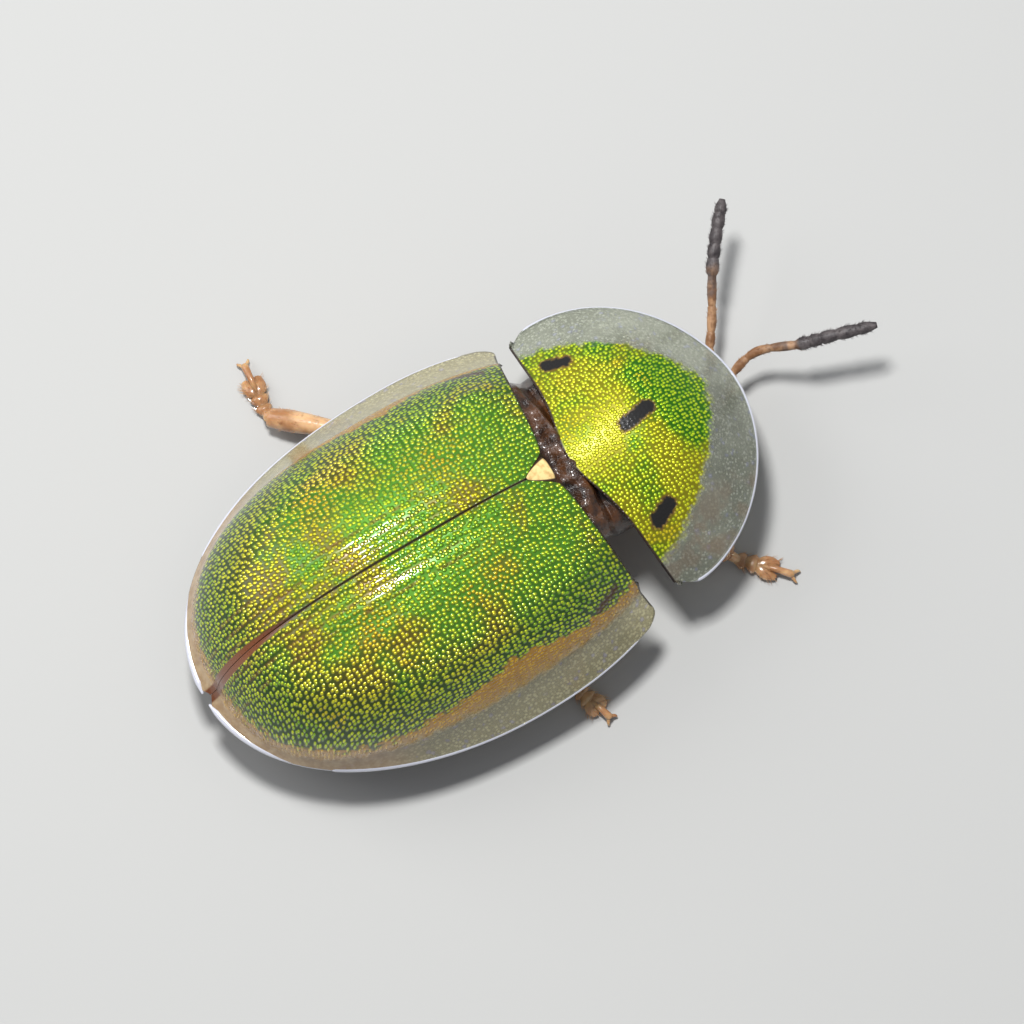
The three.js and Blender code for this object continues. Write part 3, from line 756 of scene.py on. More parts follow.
def wing_case_material():
    m = Recipe("beaded green gold", Coat_Weight=0.75, Coat_Roughness=0.15)
    bead, tint = beaded(m, CASE_BEADS_PER_MM)
    foot, seam, back, depth = (m.read(name) for name in ("foot_mm", "seam_mm", "back_mm", "depth"))
    colour = gold_and_green(m, bead, tint, back, depth)
    colour = m.mix(grooves(m, seam, back), colour, (0.16, 0.06, 0.008))
    # Painted shade: the shoulder crease is painted dark brown.
    crease = m.ramp(m.read("crease_mm"), -0.02, 0.06, 0.9, 0.0)
    colour = m.mix(crease, colour, (0.06, 0.012, 0.004))
    # The ochre band at the foot of the dome is widest beside the middle of the case.
    wave = m.blotches(5200, 2.0, 0.25, 0.75, -0.045, 0.045)
    wide = m.add(0.09, m.times(m.gauss(back, 2.5, 0.75), 0.15))
    wide = m.times(wide, m.ramp(back, 4.1, 5.0, 1.0, 0.0))
    band = m.ramp(m.add(m.add(foot, wide), wave), -0.03, 0.03)
    # Painted light and shade on the ochre beads: bead tops lighter in random patches, valleys darker.
    ochre_bead_light = m.times(bead, m.blotches(7000, 2.0, 0.3, 0.6))
    ochre = m.mix(ochre_bead_light, (0.42, 0.2, 0.002), (0.85, 0.5, 0.006))
    colour = m.mix(band, colour, ochre)
    brim = m.ramp(m.add(foot, m.times(wave, 0.4)), 0.0, 0.1)
    colour = m.mix(brim, colour, clear_brim(m, back))
    # The brown line along the seam widens towards the tips of the cases.
    seam_half = m.ramp(back, 5.0, 6.9, 0.022, 0.11)
    seam_share = m.ramp(m.math("SUBTRACT", seam, seam_half), -0.015, 0.025, 1.0, 0.0)
    seam_colour = m.mix(m.ramp(back, 5.2, 6.4), (0.035, 0.02, 0.012), (0.17, 0.045, 0.008))
    colour = m.mix(seam_share, colour, seam_colour)
    front = m.ramp(m.read("front_mm"), 0.015, 0.045, 1.0, 0.0)
    colour = m.mix(front, colour, (0.03, 0.02, 0.006))
    metal = m.rest(m.larger(brim, seam_share))
    normal = m.bump(m.times(bead, metal), 0.85, 0.022)
    m.set(Base_Color=colour, Metallic=m.times(metal, 0.62), Normal=normal, Coat_Normal=normal)
    m.set(Roughness=m.mix_number(brim, m.mix_number(bead, 0.5, 0.27), 0.14))
    m.set(Transmission_Weight=m.times(brim, m.ramp(back, 4.3, 5.6, 0.62, 0.3)))
    return m.material


green_gold = wing_case_material()
print("beads to a millimetre:", CASE_BEADS_PER_MM)

# %% Wing cases
left_case = wing_case("wing_case_left", 1)
right_case = wing_case("wing_case_right", -1)
ride(left_case, "wing_case", green_gold, "elytron_left")
ride(right_case, "wing_case", green_gold, "elytron_right")
print("points in a wing case:", len(left_case.data.vertices))

# %% [markdown]
# The rim of each wing case is a rounded bead of clear horn that catches the light. It is
# a sheet rolled into a thin tube along the rim. Round things are all made this way here,
# because the half width and half height can change along the path.

# %% Tubes and limbs


def frames_along(path):
    """Directions along a path, across it and up from it."""
    along = np.gradient(path, axis=0)
    along /= np.linalg.norm(along, axis=1)[:, None]
    across = np.cross(along, [0, 0, 1.0])
    across /= np.maximum(np.linalg.norm(across, axis=1)[:, None], 1e-6)
    rise = np.cross(across, along)
    return along, across, rise


def tube(name, path, wide, high=None, sides=12, count=None, lay=to_row):
    """A sheet rolled round a path. The half width and half height are given per point."""
    path = np.asarray(path, dtype=float)
    high = wide if high is None else high
    _, across, rise = frames_along(path)
    marks = np.linspace(0, 1, len(path))

    def place(u, v):
        def at(values):
            return np.column_stack([np.interp(u, marks, values[:, k]) for k in range(3)])

        angle = v * 2 * math.pi
        out = np.interp(u, marks, wide) * np.cos(angle)
        up = np.interp(u, marks, high) * np.sin(angle)
        spot = at(path) + at(across) * out[:, None] + at(rise) * up[:, None]
        return lay(spot[:, 0], spot[:, 1], np.maximum(spot[:, 2], 0))

    piece = sheet(name, sides, count or len(path) - 1, place)
    weld(piece)
    bpy.ops.object.mode_set(mode="EDIT")
    bpy.ops.mesh.select_all(action="DESELECT")
    bpy.ops.mesh.select_non_manifold()
    bpy.ops.mesh.edge_face_add()
    bpy.ops.object.mode_set(mode="OBJECT")
    smooth(piece)
    return piece


def taper(radius, count, tip=0.3):
    """Thins a tube towards both its ends."""
    radius[:count] *= np.linspace(tip, 1, count)
    radius[-count:] *= np.linspace(1, tip, count)


def profile(marks, count):
    """Half widths at even steps along a limb, from a few of them."""
    spread = np.linspace(0, 1, len(marks))
    fine = np.linspace(0, 1, count)
    lined = np.interp(fine, spread, marks)
    soft = np.convolve(np.pad(lined, 3, mode="edge"), np.ones(7) / 7, mode="valid")
    soft[0], soft[-1] = lined[0], lined[-1]
    return soft


print("tube helper ready")

# %% Rims
horn = Recipe("clear horn bead", Base_Color=(0.8, 0.82, 0.92), Roughness=0.16, Coat_Weight=1.0)
horn.set(Transmission_Weight=0.3)
horn.set(Normal=horn.bump(horn.noise(9000, 2.0), 0.25, 0.01))


def case_rim(name, side):
    x, y = on_outline(np.linspace(-0.44, math.pi / 2 - 0.03, 220), RIM)
    radius = np.interp(y, [0.3, 3.5, 6.5], [0.03, 0.042, 0.062])
    taper(radius, 8)
    inward = side * (x - radius * 0.7)
    path = np.column_stack([inward, y - radius * 0.5 * (y > 6), rim_height(y) - 0.01])
    return tube(name, path, radius, sides=10, count=220)


for side, word in ((1, "left"), (-1, "right")):
    ride(case_rim(f"rim_{word}", side), "wing_case", horn.material)
print("rims done")

# %% [markdown]
# The shield is one plate. It is a sheet stretched between its hind edge and its front
# arc, lifted to a low dome that fades into a clear margin. The opaque part is nearly a
# rounded triangle. It is written as a number on the points, as the three spots are, so
# that the material can follow the drawing.

# %% Shield
SHIELD = (SHIELD_HALF_WIDTH, SHIELD_LENGTH - SHIELD_WIDEST, 1.35, -SHIELD_WIDEST, 1.8)
SHIELD_FRONT_SLOPE = SHIELD_LENGTH + SHIELD_APEX
SHIELD_SQUARENESS = 2.1
SHIELD_ARC_START = 0.35
# Each spot is a bar: its two ends and its half width.
SPOTS = [
    ((1.70, -0.22), (1.56, -0.5), 0.095),
    ((-0.01, -0.64), (0.05, -1.12), 0.11),
    ((-1.44, -0.52), (-1.54, -0.24), 0.12),
]
GREEN_PATCH = (-0.05, -1.62)


def shield_height(x, y):
    slope = np.where(y > SHIELD_APEX, SHIELD_REAR_SLOPE, SHIELD_FRONT_SLOPE)
    along = np.abs(y - SHIELD_APEX) / slope
    across = np.abs(x) / SHIELD_HALF_WIDTH
    total = across**SHIELD_SQUARENESS + along**SHIELD_SQUARENESS
    r = np.minimum(1, total ** (1 / SHIELD_SQUARENESS))
    return SHIELD_MARGIN_HEIGHT + SHIELD_DOME_HEIGHT * (1 - r**1.95) ** 1.15


def hind_edge(x):
    return SHIELD_SWEEP * (1 - (x / SHIELD_HALF_WIDTH) ** 2) + SHIELD_LOBE * bell(x, 0, 0.85)


def shield_arc():
    x, y = on_outline(np.linspace(SHIELD_ARC_START, -math.pi - SHIELD_ARC_START, 300), SHIELD)
    return np.column_stack([x, np.minimum(y, hind_edge(x))])


def shield():
    arc = shield_arc()
    corner = arc[0][0]

    def place(u, v):
        back_x = corner * (1 - 2 * u)
        back_y = hind_edge(back_x)
        front_x, front_y = along_path(arc, u)
        x = back_x + (front_x - back_x) * v
        y = back_y + (front_y - back_y) * v
        fine = 0.008 * np.sin(5.1 * x + 2) * np.sin(4.3 * y + 1)
        return turned_row(x, y, shield_height(x, y) + fine * (1 - reach(x, y, SHIELD)).clip(0, 1))

    return plate("shield", 120, 210, place)


def shield_places(piece):
    """The shield's points in its own drawing, before it was turned."""
    x, y, _ = places(piece)
    x, y = x - SHIELD_AT[0], y - SHIELD_AT[1]
    return x * YAW_COS + y * YAW_SIN, y * YAW_COS - x * YAW_SIN


shield_plate = shield()
px, py = shield_places(shield_plate)
note(shield_plate, "disc", (np.abs(px - 0.03) / 2.1) ** 1.4 + np.clip(-py / 2.25, 0, None) ** 1.4)
note(shield_plate, "hind_mm", hind_edge(px) - py)
note(shield_plate, "grain_x", px)
note(shield_plate, "grain_y", py)
note(shield_plate, "spot_mm", np.min([to_mark(px, py, *spot) for spot in SPOTS], axis=0))
note(shield_plate, "leafy", oval(px, py, GREEN_PATCH, (0.85, 0.34)))
shell(shield_plate)
print("points in the shield:", len(shield_plate.data.vertices))

# %% Material of the shield


def shield_material():
    m = Recipe("beaded yellow green", Coat_Weight=0.1, Coat_Roughness=0.2)
    bead, tint = beaded(m, SHIELD_BEADS_PER_MM)
    green = m.mix(tint, (0.26, 0.54, 0.006), (0.72, 0.92, 0.015))
    lemon = m.mix(tint, (0.5, 0.58, 0.006), (0.86, 0.86, 0.018))
    broad = m.noise(800, 4.0)
    lemon_share = m.ramp(m.add(broad, m.times(m.read("leafy"), -0.45)), 0.34, 0.54)
    colour = m.mix(lemon_share, green, lemon)
    amber_share = m.ramp(m.noise(1500, 3.0, vector=m.shifted(0.05)), 0.56, 0.68, 0.0, 0.5)
    colour = m.mix(amber_share, colour, (0.85, 0.5, 0.01))
    # Painted shade: the valleys between the beads are darker.
    valley_shade = m.mix(lemon_share, (0.03, 0.16, 0.002), (0.26, 0.24, 0.004))
    colour = m.mix(bead, valley_shade, colour)
    # The spots are black with a reddish brown fringe.
    spot = m.add(m.read("spot_mm"), m.blotches(9000, 2.0, 0.3, 0.7, -0.02, 0.02))
    beside_spot = m.ramp(spot, -0.02, 0.02)
    colour = m.mix(m.ramp(spot, 0.0, 0.07, 0.85, 0.0), colour, (0.14, 0.05, 0.008))
    colour = m.mix(beside_spot, (0.002, 0.0015, 0.0015), colour)
    # The margin is clear horn with a fine net in it and blue flecks of painted glint, a little pink at its
    # right end.
    ragged = m.ramp(m.noise(5000, 4.0, 0.7), 0.3, 0.7, -0.05, 0.05)
    clear_share = m.ramp(m.add(m.read("disc"), ragged), 0.95, 1.06)
    near, painted_glint_cells = m.cells(16000, 0.9)
    net = m.times(m.ramp(near, 0.2, 0.5), m.blotches(1400, 3.0, 0.2, 0.7, 0.5, 1.0))
    clear = m.mix(net, (0.66, 0.69, 0.57), (0.34, 0.36, 0.28))
    clear = m.mix(m.ramp(painted_glint_cells, 0.95, 0.97, 0.0, 0.3), clear, (0.5, 0.52, 0.95))
    pink = m.times(m.ramp(m.read("grain_x"), -1.3, -1.8), m.blotches(3000, 3.0, 0.4, 0.6))
    clear = m.mix(m.times(pink, 0.4), clear, (0.45, 0.3, 0.2))
    colour = m.mix(clear_share, colour, clear)
    line = m.ramp(m.read("hind_mm"), 0.025, 0.05, 1.0, 0.0)
    colour = m.mix(line, colour, (0.03, 0.014, 0.008))
    metal = m.rest(m.larger(clear_share, m.larger(line, m.ramp(spot, 0.0, 0.05, 1.0, 0.0))))
    relief = m.times(m.rest(clear_share), m.ramp(spot, -0.02, 0.02, 0.15, 1.0))
    normal = m.bump(m.times(bead, relief), 0.7, 0.018)
    m.set(Base_Color=colour, Metallic=m.times(metal, 0.5), Normal=normal, Coat_Normal=normal)
    m.set(Roughness=m.mix_number(beside_spot, 0.8, m.mix_number(clear_share, 0.4, 0.15)))
    m.set(Transmission_Weight=m.times(clear_share, 0.68))
    return m.material


ride(shield_plate, "shield", shield_material(), "pronotum")
print("spots on the shield:", len(SPOTS))

# %% Rim of the shield
arc = shield_arc()[14:-14]
arc_radius = np.full(len(arc), 0.04)
taper(arc_radius, 10)
arc_height = shield_height(arc[:, 0], arc[:, 1])
arc_path = np.column_stack([arc[:, 0] * 0.988, arc[:, 1] + 0.02, arc_height - 0.02])
shield_rim = tube("shield_rim", arc_path, arc_radius, sides=10, lay=turned_row)
ride(shield_rim, "shield", horn.material)
print("shield rim done")

# %% [markdown]
# The scutellum is the small cream triangle between the bases of the wing cases. Its
# corners are rounded and it is a little domed. A thin dark line round it is painted
# shade, for the gap around it.

# %% Scutellum
cream = Recipe("cream chitin", Roughness=0.38, Coat_Weight=0.2)
cream_face = cream.mix(cream.blotches(9000, 3.0, 0.35, 0.62), (0.62, 0.4, 0.15), (0.84, 0.64, 0.28))
# Painted shade: a dark line along the edge, where the gap round the scutellum lies.
cream_edge_shade = cream.ramp(cream.read("edge"), 0.8, 0.93)
cream.set(Base_Color=cream.mix(cream_edge_shade, cream_face, (0.04, 0.018, 0.01)))
cream.set(Normal=cream.bump(cream.noise(14000, 2.0), 0.3, 0.008))


def scutellum_half(along):
    return SCUTELLUM_HALF * np.clip(1 - along**1.3, 0.04, 1) ** 0.75


def scutellum():
    def place(u, v):
        across = 2 * u - 1
        front = SCUTELLUM_FRONT + 0.05 * across**2
        y = front + (SCUTELLUM_BACK - front) * v
        x = across * scutellum_half(v)
        z = case_height(np.zeros_like(x), y) + 0.02 * (1 - across**2) - 0.4 * x**2
        return to_row(x, y, z)

    piece = plate("scutellum_plate", 18, 22, place)
    x, y, _ = places(piece)
    along = np.clip((y - SCUTELLUM_FRONT) / (SCUTELLUM_BACK - SCUTELLUM_FRONT), 0, 1)
    note(piece, "edge", np.maximum(np.abs(x) / scutellum_half(along), np.abs(2 * along - 1) ** 2))
    shell(piece, 0.12)
    return piece


ride(scutellum(), "scutellum", cream.material, "scutellum")
print("scutellum done")

# %% [markdown]
# Under the gap between shield and wing cases lies the dark, glossy, folded ring that
# joins them. It is a sheet with folds, low enough to clear the plates on both sides.

# %% Saddle
dark = Recipe("dark brown chitin", Roughness=0.26, Coat_Weight=0.4, Coat_Roughness=0.12)
dark_share = dark.ramp(dark.noise(2600, 5.0, 0.65), 0.35, 0.68)
dark.set(Base_Color=dark.mix(dark_share, (0.012, 0.007, 0.006), (0.11, 0.04, 0.012)))
dark.set(Normal=dark.bump(dark.noise(4200, 6.0, 0.7), 0.8, 0.07))
SADDLE_LEFT = 1.85
SADDLE_RIGHT = -1.3
SADDLE_FRONT = -0.4
SADDLE_LENGTH = 1.3
SADDLE_UNDER_CASE = 0.36
SADDLE_UNDER_SHIELD = 0.22
SADDLE_WALL = 0.25


def folds(x, v):
    """Three sets of slanting folds, each finer and lower than the last."""
    broad = 0.035 * np.sin(17 * v + 2.2 * x)
    return broad + 0.025 * np.sin(11 * x + 5 * v) + 0.015 * np.sin(23 * x - 9 * v)


def saddle():
    def place(u, v):
        x = SADDLE_RIGHT + (SADDLE_LEFT - SADDLE_RIGHT) * u
        y = SADDLE_FRONT + SADDLE_LENGTH * v + 0.05 * np.sin(3 * x)
        under_case = case_height(x, np.maximum(y, 0.45)) - SADDLE_UNDER_CASE
        under_shield = shield_height(x, np.minimum(y, 0.1)) - SADDLE_UNDER_SHIELD
        z = np.minimum(under_case, under_shield + 2.5 * np.clip(y - 0.02, 0, None)) + folds(x, v)
        ends = np.clip(np.minimum(u, 1 - u) / 0.08, 0, 1)
        return to_row(x, y, z - 0.35 * (1 - np.sqrt(ends)))

    piece = plate("saddle", 60, 130, place)
    shell(piece, SADDLE_WALL)
    return piece


ride(saddle(), "dark_chitin", dark.material, "mesonotum")
print("saddle done")

# %% [markdown]
# The underside is a row of rounded plates. One sheet rolled round the body's length makes
# the chest and the belly together, so that no seam shows, with the grooves between the
# belly plates and down the middle of the chest pressed in by a rule.

# %% Underside
brown = Recipe("brown chitin", Roughness=0.3, Coat_Weight=0.3)
brown_plain = brown.mix(brown.blotches(1600, 5.0, 0.35, 0.65), (0.09, 0.035, 0.012), (0.27, 0.13, 0.04))
brown_pits, _ = brown.cells(9000, 1.0)
brown_pit = brown.ramp(brown_pits, 0.1, 0.3, 1.0, 0.0)
brown.set(Base_Color=brown.mix(brown.times(brown_pit, 0.6), brown_plain, (0.03, 0.012, 0.006)))
brown.set(Normal=brown.bump(brown.rest(brown_pit), 0.35, 0.012))
BODY_FLOOR = 1.02
TRUNK_HALF_WIDTH = 1.98
TRUNK_UNDER_CASE = 0.66
RING_HALF_WIDTH = 1.46
RING_UNDER_SHIELD = 0.52


def body_roll(start, end, half_width, roof, floor, waist):
    """A rule for a closed body of rounded sections across the beetle from start to end."""

    def place(u, v):
        y = start + (end - start) * u
        angle = v * 2 * math.pi
        ends = np.sqrt(np.clip(1 - (2 * u - 1) ** 8, 0, 1))
        x = half_width(y) * np.cos(angle) * ends
        full = np.abs(np.sin(angle)) ** 0.62 * ends
        z = waist + np.where(np.sin(angle) > 0, roof(x, y) - waist, floor(x, y) - waist) * full
        return x, y, z

    return place


def trunk_width(y):
    along = np.abs(y - DISC_WIDEST) / np.where(y > DISC_WIDEST, 3.48, 3.84)
    return TRUNK_HALF_WIDTH * np.clip(1 - along**2.5, 0.0005, 1) ** 0.4


def trunk_roof(x, y):
    return case_height(x, y) - TRUNK_UNDER_CASE


def belly(x, y):
    """Grooves between the belly plates and in the chest, on a floor that rises behind."""
    bow = 0.07 * np.abs(x) ** 1.5
    in_plate = ((y + bow - 2.85) / 0.7) % 1
    plates = 0.05 * bell(in_plate, 0.5, 0.09) * (y > 2.6) * (y < 6.1)
    chest = 0.05 * bell(x, 0, 0.05) * (y < 2.5) + 0.06 * bell(y + 0.1 * np.abs(x), 1.35, 0.05)
    return BODY_FLOOR + 0.2 * np.clip((y - 2.75) / 3.6, 0, 1) ** 2 + plates + chest


trunk_place = body_roll(-0.08, 6.36, trunk_width, trunk_roof, belly, 1.5)
trunk = rolled("trunk", 72, 220, lambda u, v: to_row(*trunk_place(u, v)))
ride(trunk, "underside", brown.material, "thorax", "abdomen")
print("points in the trunk:", len(trunk.data.vertices))

# %% First body ring


def ring_width(y):
    return RING_HALF_WIDTH * np.sqrt(np.clip(1 - ((y + 0.7) / 1.6) ** 2, 0, 1))


def ring_roof(x, y):
    return shield_height(x, y) - RING_UNDER_SHIELD


def ring_floor(x, y):
    """A keel down the middle and a groove across."""
    return BODY_FLOOR - 0.06 * bell(x, 0, 0.2) + 0.06 * bell(y, -0.75, 0.05)


ring_place = body_roll(-1.45, -0.05, ring_width, ring_roof, ring_floor, 1.4)
ring = rolled("first_ring", 60, 60, lambda u, v: turned_row(*ring_place(u, v)))
ride(ring, "underside", brown.material, "prothorax")
print("first ring done")

# %% [markdown]
# The head is small and tucked under the front of the shield, so only its face shows from
# ahead and below. Rounded parts are ball primitives, squashed and pushed into shape:
# the skull with a groove down the brow, the lip plates, and the two kidney-shaped eyes.
# The jaws and the jointed mouth feelers are thin tubes.

# %% Head


def ball(name, at, half, segments=32, rings=20, shape=None):
    """A ball primitive, squashed, reshaped by a rule and set on the turned fore body."""
    clear_selection()
    bpy.ops.mesh.primitive_uv_sphere_add(segments=segments, ring_count=rings, radius=1)
    piece = named(name)
    points = read_points(piece)
    if shape:
        points = shape(points)
    points = points * np.array(half) + np.array(at)
    write_points(piece, turned_row(*points.T))
    smooth(piece)
    return piece


def brow(points):
    """A groove down the brow and a flatter face."""
    x, y, z = points.T
    dent = 0.12 * bell(x, 0, 0.12) * np.clip(-y, 0, 1)
    return np.column_stack([x, np.where(y < 0, y * 0.92 + dent, y), z])


def kidney(points):
    """A notch in the front of an eye."""
    x, y, z = points.T
    notch = 0.22 * bell(z, 0, 0.35) * (y < 0)
    return np.column_stack([x, y * (1 - notch), z])


eye_black = Recipe("faceted eye", Base_Color=(0.012, 0.01, 0.01), Roughness=0.12, Coat_Weight=0.6)
facet, _ = eye_black.cells(26000, 0.15)
eye_black.set(Normal=eye_black.bump(eye_black.rest(facet), 0.6, 0.012))
eye_tone = eye_black.mix(eye_black.ramp(facet, 0.3, 0.6), (0.03, 0.022, 0.02), (0.004, 0.003, 0.003))
eye_black.set(Base_Color=eye_tone)

amber = Recipe("amber limb", Roughness=0.26, Coat_Weight=0.35, Subsurface_Weight=0.25)
amber.set(Subsurface_Radius=(0.0004, 0.00015, 0.00005), Subsurface_Scale=1.0)
amber_tone = amber.mix(amber.blotches(1900, 4.0, 0.34, 0.66), (0.36, 0.17, 0.07), (0.7, 0.44, 0.23))
amber_specks = amber.blotches(7000, 3.0, 0.6, 0.75, 0.0, 0.55)
amber.set(Base_Color=amber.mix(amber_specks, amber_tone, (0.16, 0.05, 0.012)))
amber.set(Normal=amber.bump(amber.noise(11000, 3.0), 0.4, 0.012))

HEAD_Y = -1.97
HEAD_Z = 1.14
skull = ball("skull", (0, HEAD_Y, HEAD_Z), (0.6, 0.38, 0.4), 48, 32, brow)
lip_plate = ball("lip_plate", (0, -2.24, 0.9), (0.26, 0.12, 0.16))
sockets = [ball(f"socket_{side}", (side * 0.2, -2.33, 1.1), (0.1, 0.06, 0.1)) for side in (1, -1)]
skull = join("skull", [skull, lip_plate, *sockets])
ride(skull, "underside", brown.material, "head")
for side, word in ((1, "left"), (-1, "right")):
    eye = ball(f"eye_bulb_{word}", (side * 0.68, HEAD_Y, HEAD_Z), (0.22, 0.29, 0.3), 40, 28, kidney)
    ride(eye, "eye", eye_black.material, f"eye_{word}")
print("skull and eyes done")

# %% Mouth parts


def mouth_tube(name, points, marks):
    return tube(name, smooth_path(points, 30), profile(marks, 30), sides=12, lay=turned_row)


mouth = [
    ball("chin", (0, -2.0, 0.6), (0.28, 0.2, 0.13)),
    ball("upper_lip", (0, -2.27, 0.72), (0.2, 0.07, 0.09)),
]
# Path on the left side and half widths along it.
MOUTH_TUBES = {
    "jaw": (
        [(0.24, -2.0, 0.66), (0.24, -2.18, 0.62), (0.1, -2.28, 0.6), (0.02, -2.27, 0.58)],
        (0.09, 0.1, 0.07, 0.02),
    ),
    "palp": (
        [(0.26, -1.98, 0.56), (0.36, -2.12, 0.5), (0.34, -2.24, 0.46)],
        (0.035, 0.05, 0.035, 0.055, 0.035, 0.055, 0.02),
    ),
    "inner_palp": ([(0.1, -2.02, 0.5), (0.13, -2.16, 0.45)], (0.03, 0.045, 0.03, 0.045, 0.015)),
}
for side in (1, -1):
    for name, (points, marks) in MOUTH_TUBES.items():
        mouth.append(mouth_tube(f"{name}_{side}", [(side * x, y, z) for x, y, z in points], marks))
ride(join("mouth", mouth), "limb", amber.material, "mouthparts")
print("mouth parts done")

# %% [markdown]
# Feelers and feet carry short stiff hairs. One slim cone is modelled, and its points are
# copied along a limb, each copy leaning outwards and forwards. All hairs of one limb are
# one mesh. Hair curves would look as good here, but a mesh also survives an export.

# %% Hairs
clear_selection()
bpy.ops.mesh.primitive_cone_add(vertices=3, radius1=1, radius2=0.15, depth=1)
cone = bpy.context.object
CONE_POINTS = read_points(cone) + np.array([0, 0, 0.5])
CONE_FACES = [list(face.vertices) for face in cone.data.polygons]
bpy.data.objects.remove(cone, do_unlink=True)
HAIR_WIDTH = 0.006


def unit(vectors):
    return vectors / np.maximum(np.linalg.norm(vectors, axis=-1, keepdims=True), 1e-9)


def hairs(name, roots, tips, width=HAIR_WIDTH):
    """One mesh of many copies of the cone, each from its root to its tip."""
    up = tips - roots
    side = unit(np.cross(up, [0.31, 0.2, 0.93]))
    other = unit(np.cross(up, side))
    c = CONE_POINTS
    points = (
        roots[:, None, :] + c[None, :, 2:3] * up[:, None, :]
        + c[None, :, 0:1] * width * side[:, None, :] + c[None, :, 1:2] * width * other[:, None, :]
    )
    x, y, z = points.reshape(-1, 3).T
    faces = [[i + k * len(c) for i in face] for k in range(len(roots)) for face in CONE_FACES]
    mesh = bpy.data.meshes.new(name)
    mesh.from_pydata(to_row(x, y, np.maximum(z, 0)).tolist(), [], faces)
    piece = bpy.data.objects.new(name, mesh)
    bpy.context.collection.objects.link(piece)
    return piece


def limb_hairs(name, path, wide, high, count, length, seed, span=(0.0, 1.0), lean=0.9):
    """Hairs spread over a limb, leaning towards its tip."""
    draw = np.random.default_rng(seed)
    along, across, rise = frames_along(path)
    at = draw.uniform(*span, count) * (len(path) - 1)
    k = at.astype(int)
    angle = draw.uniform(0, 2 * math.pi, count)
    out = across[k] * np.cos(angle)[:, None] + rise[k] * np.sin(angle)[:, None]
    skin = across[k] * (wide[k] * np.cos(angle))[:, None] + rise[k] * (high[k] * np.sin(angle))[:, None]
    roots = path[k] + 0.92 * skin
    tips = roots + unit(out + along[k] * lean) * (length * draw.uniform(0.6, 1.2, count))[:, None]
    return hairs(name, roots, tips)


print("faces of one hair:", len(CONE_FACES))

# %% [markdown]
# Feelers have eleven joints, each narrow at its root and full beyond. The first six are
# slim and brown. The last five are short, and form a dark velvety club, which takes up
# the last third of the length.

# %% Feelers
FEELERS = {
    "left": [
        (0.44, -2.75, 0.98), (0.64, -2.98, 0.88), (0.9, -3.14, 0.84), (1.26, -3.4, 0.98),
        (1.88, -3.78, 1.3), (2.36, -4.14, 1.46), (2.84, -4.56, 1.56),
    ],
    "right": [
        (-0.06, -2.75, 0.98), (0.12, -3.0, 0.88), (0.33, -3.26, 0.84), (0.39, -3.76, 1.05),
        (0.08, -4.37, 1.32), (-0.09, -4.83, 1.46), (-0.37, -5.62, 1.6),
    ],
}
FEELER_JOINTS = 11
SLIM_JOINTS = 6
SLIM_SHARE = 0.66
SLIM_RADIUS = 0.082
CLUB_RADIUS = 0.112
velvet = Recipe("feeler velvet", Roughness=0.55)
joint_number = velvet.add(velvet.read("joint"), velvet.blotches(4000, 3.0, 0.3, 0.7, -0.5, 0.5))
club_share = velvet.ramp(joint_number, 4.8, 6.6)
slim_tone = velvet.mix(velvet.blotches(5000, 3.0, 0.35, 0.65), (0.2, 0.09, 0.035), (0.44, 0.25, 0.13))
club_tone = velvet.mix(velvet.blotches(6000, 3.0, 0.35, 0.65), (0.035, 0.028, 0.03), (0.1, 0.085, 0.085))
velvet.set(Base_Color=velvet.mix(club_share, slim_tone, club_tone))
velvet.set(Normal=velvet.bump(velvet.noise(16000, 3.0), 0.6, 0.015))


def feeler(name, points):
    count = 20 * FEELER_JOINTS + 1
    path = smooth_path(points, count)
    # The number of joints passed. Its end stays just below the whole count, as the tip
    # belongs to the last joint.
    ends = [0, SLIM_JOINTS, FEELER_JOINTS - 1e-6]
    passed = np.interp(np.linspace(0, 1, count), [0, SLIM_SHARE, 1], ends)
    inside = passed % 1
    full = np.where(passed.astype(int) >= SLIM_JOINTS, CLUB_RADIUS, SLIM_RADIUS)
    radius = full * (0.6 + 0.4 * np.sin(np.clip(inside * 1.15, 0, 1) * math.pi * 0.62 + 0.35))
    radius[-12:] *= np.linspace(1, 0.25, 12) ** 0.5
    piece = tube(name, path, radius, sides=16)
    club = limb_hairs(name + "_club", path, radius, radius, 420, 0.055, len(name), (SLIM_SHARE, 0.98))
    slim = limb_hairs(name + "_slim", path, radius, radius, 110, 0.06, len(name) + 1, (0.1, SLIM_SHARE), 1.4)
    piece = join(name, [piece, club, slim])
    near = []
    for some in np.array_split(np.column_stack(places(piece)), 8):
        away = ((some[:, None, :] - path[None, :, :]) ** 2).sum(axis=2)
        near.append(away.argmin(axis=1))
    note(piece, "joint", passed[np.concatenate(near)])
    return piece


for word, points in FEELERS.items():
    ride(feeler(f"feeler_{word}", points), "feeler", velvet.material, f"antenna_{word}")
print("feelers done")

# %% [markdown]
# A beetle's leg is a round hip in its socket, a stout thigh, a shin that widens towards
# its end, and a foot of flat hairy lobes, the third split in two, with a slim claw joint
# that rises between them. Each is a tube with its own profile, and the foot is a few
# tubes joined.

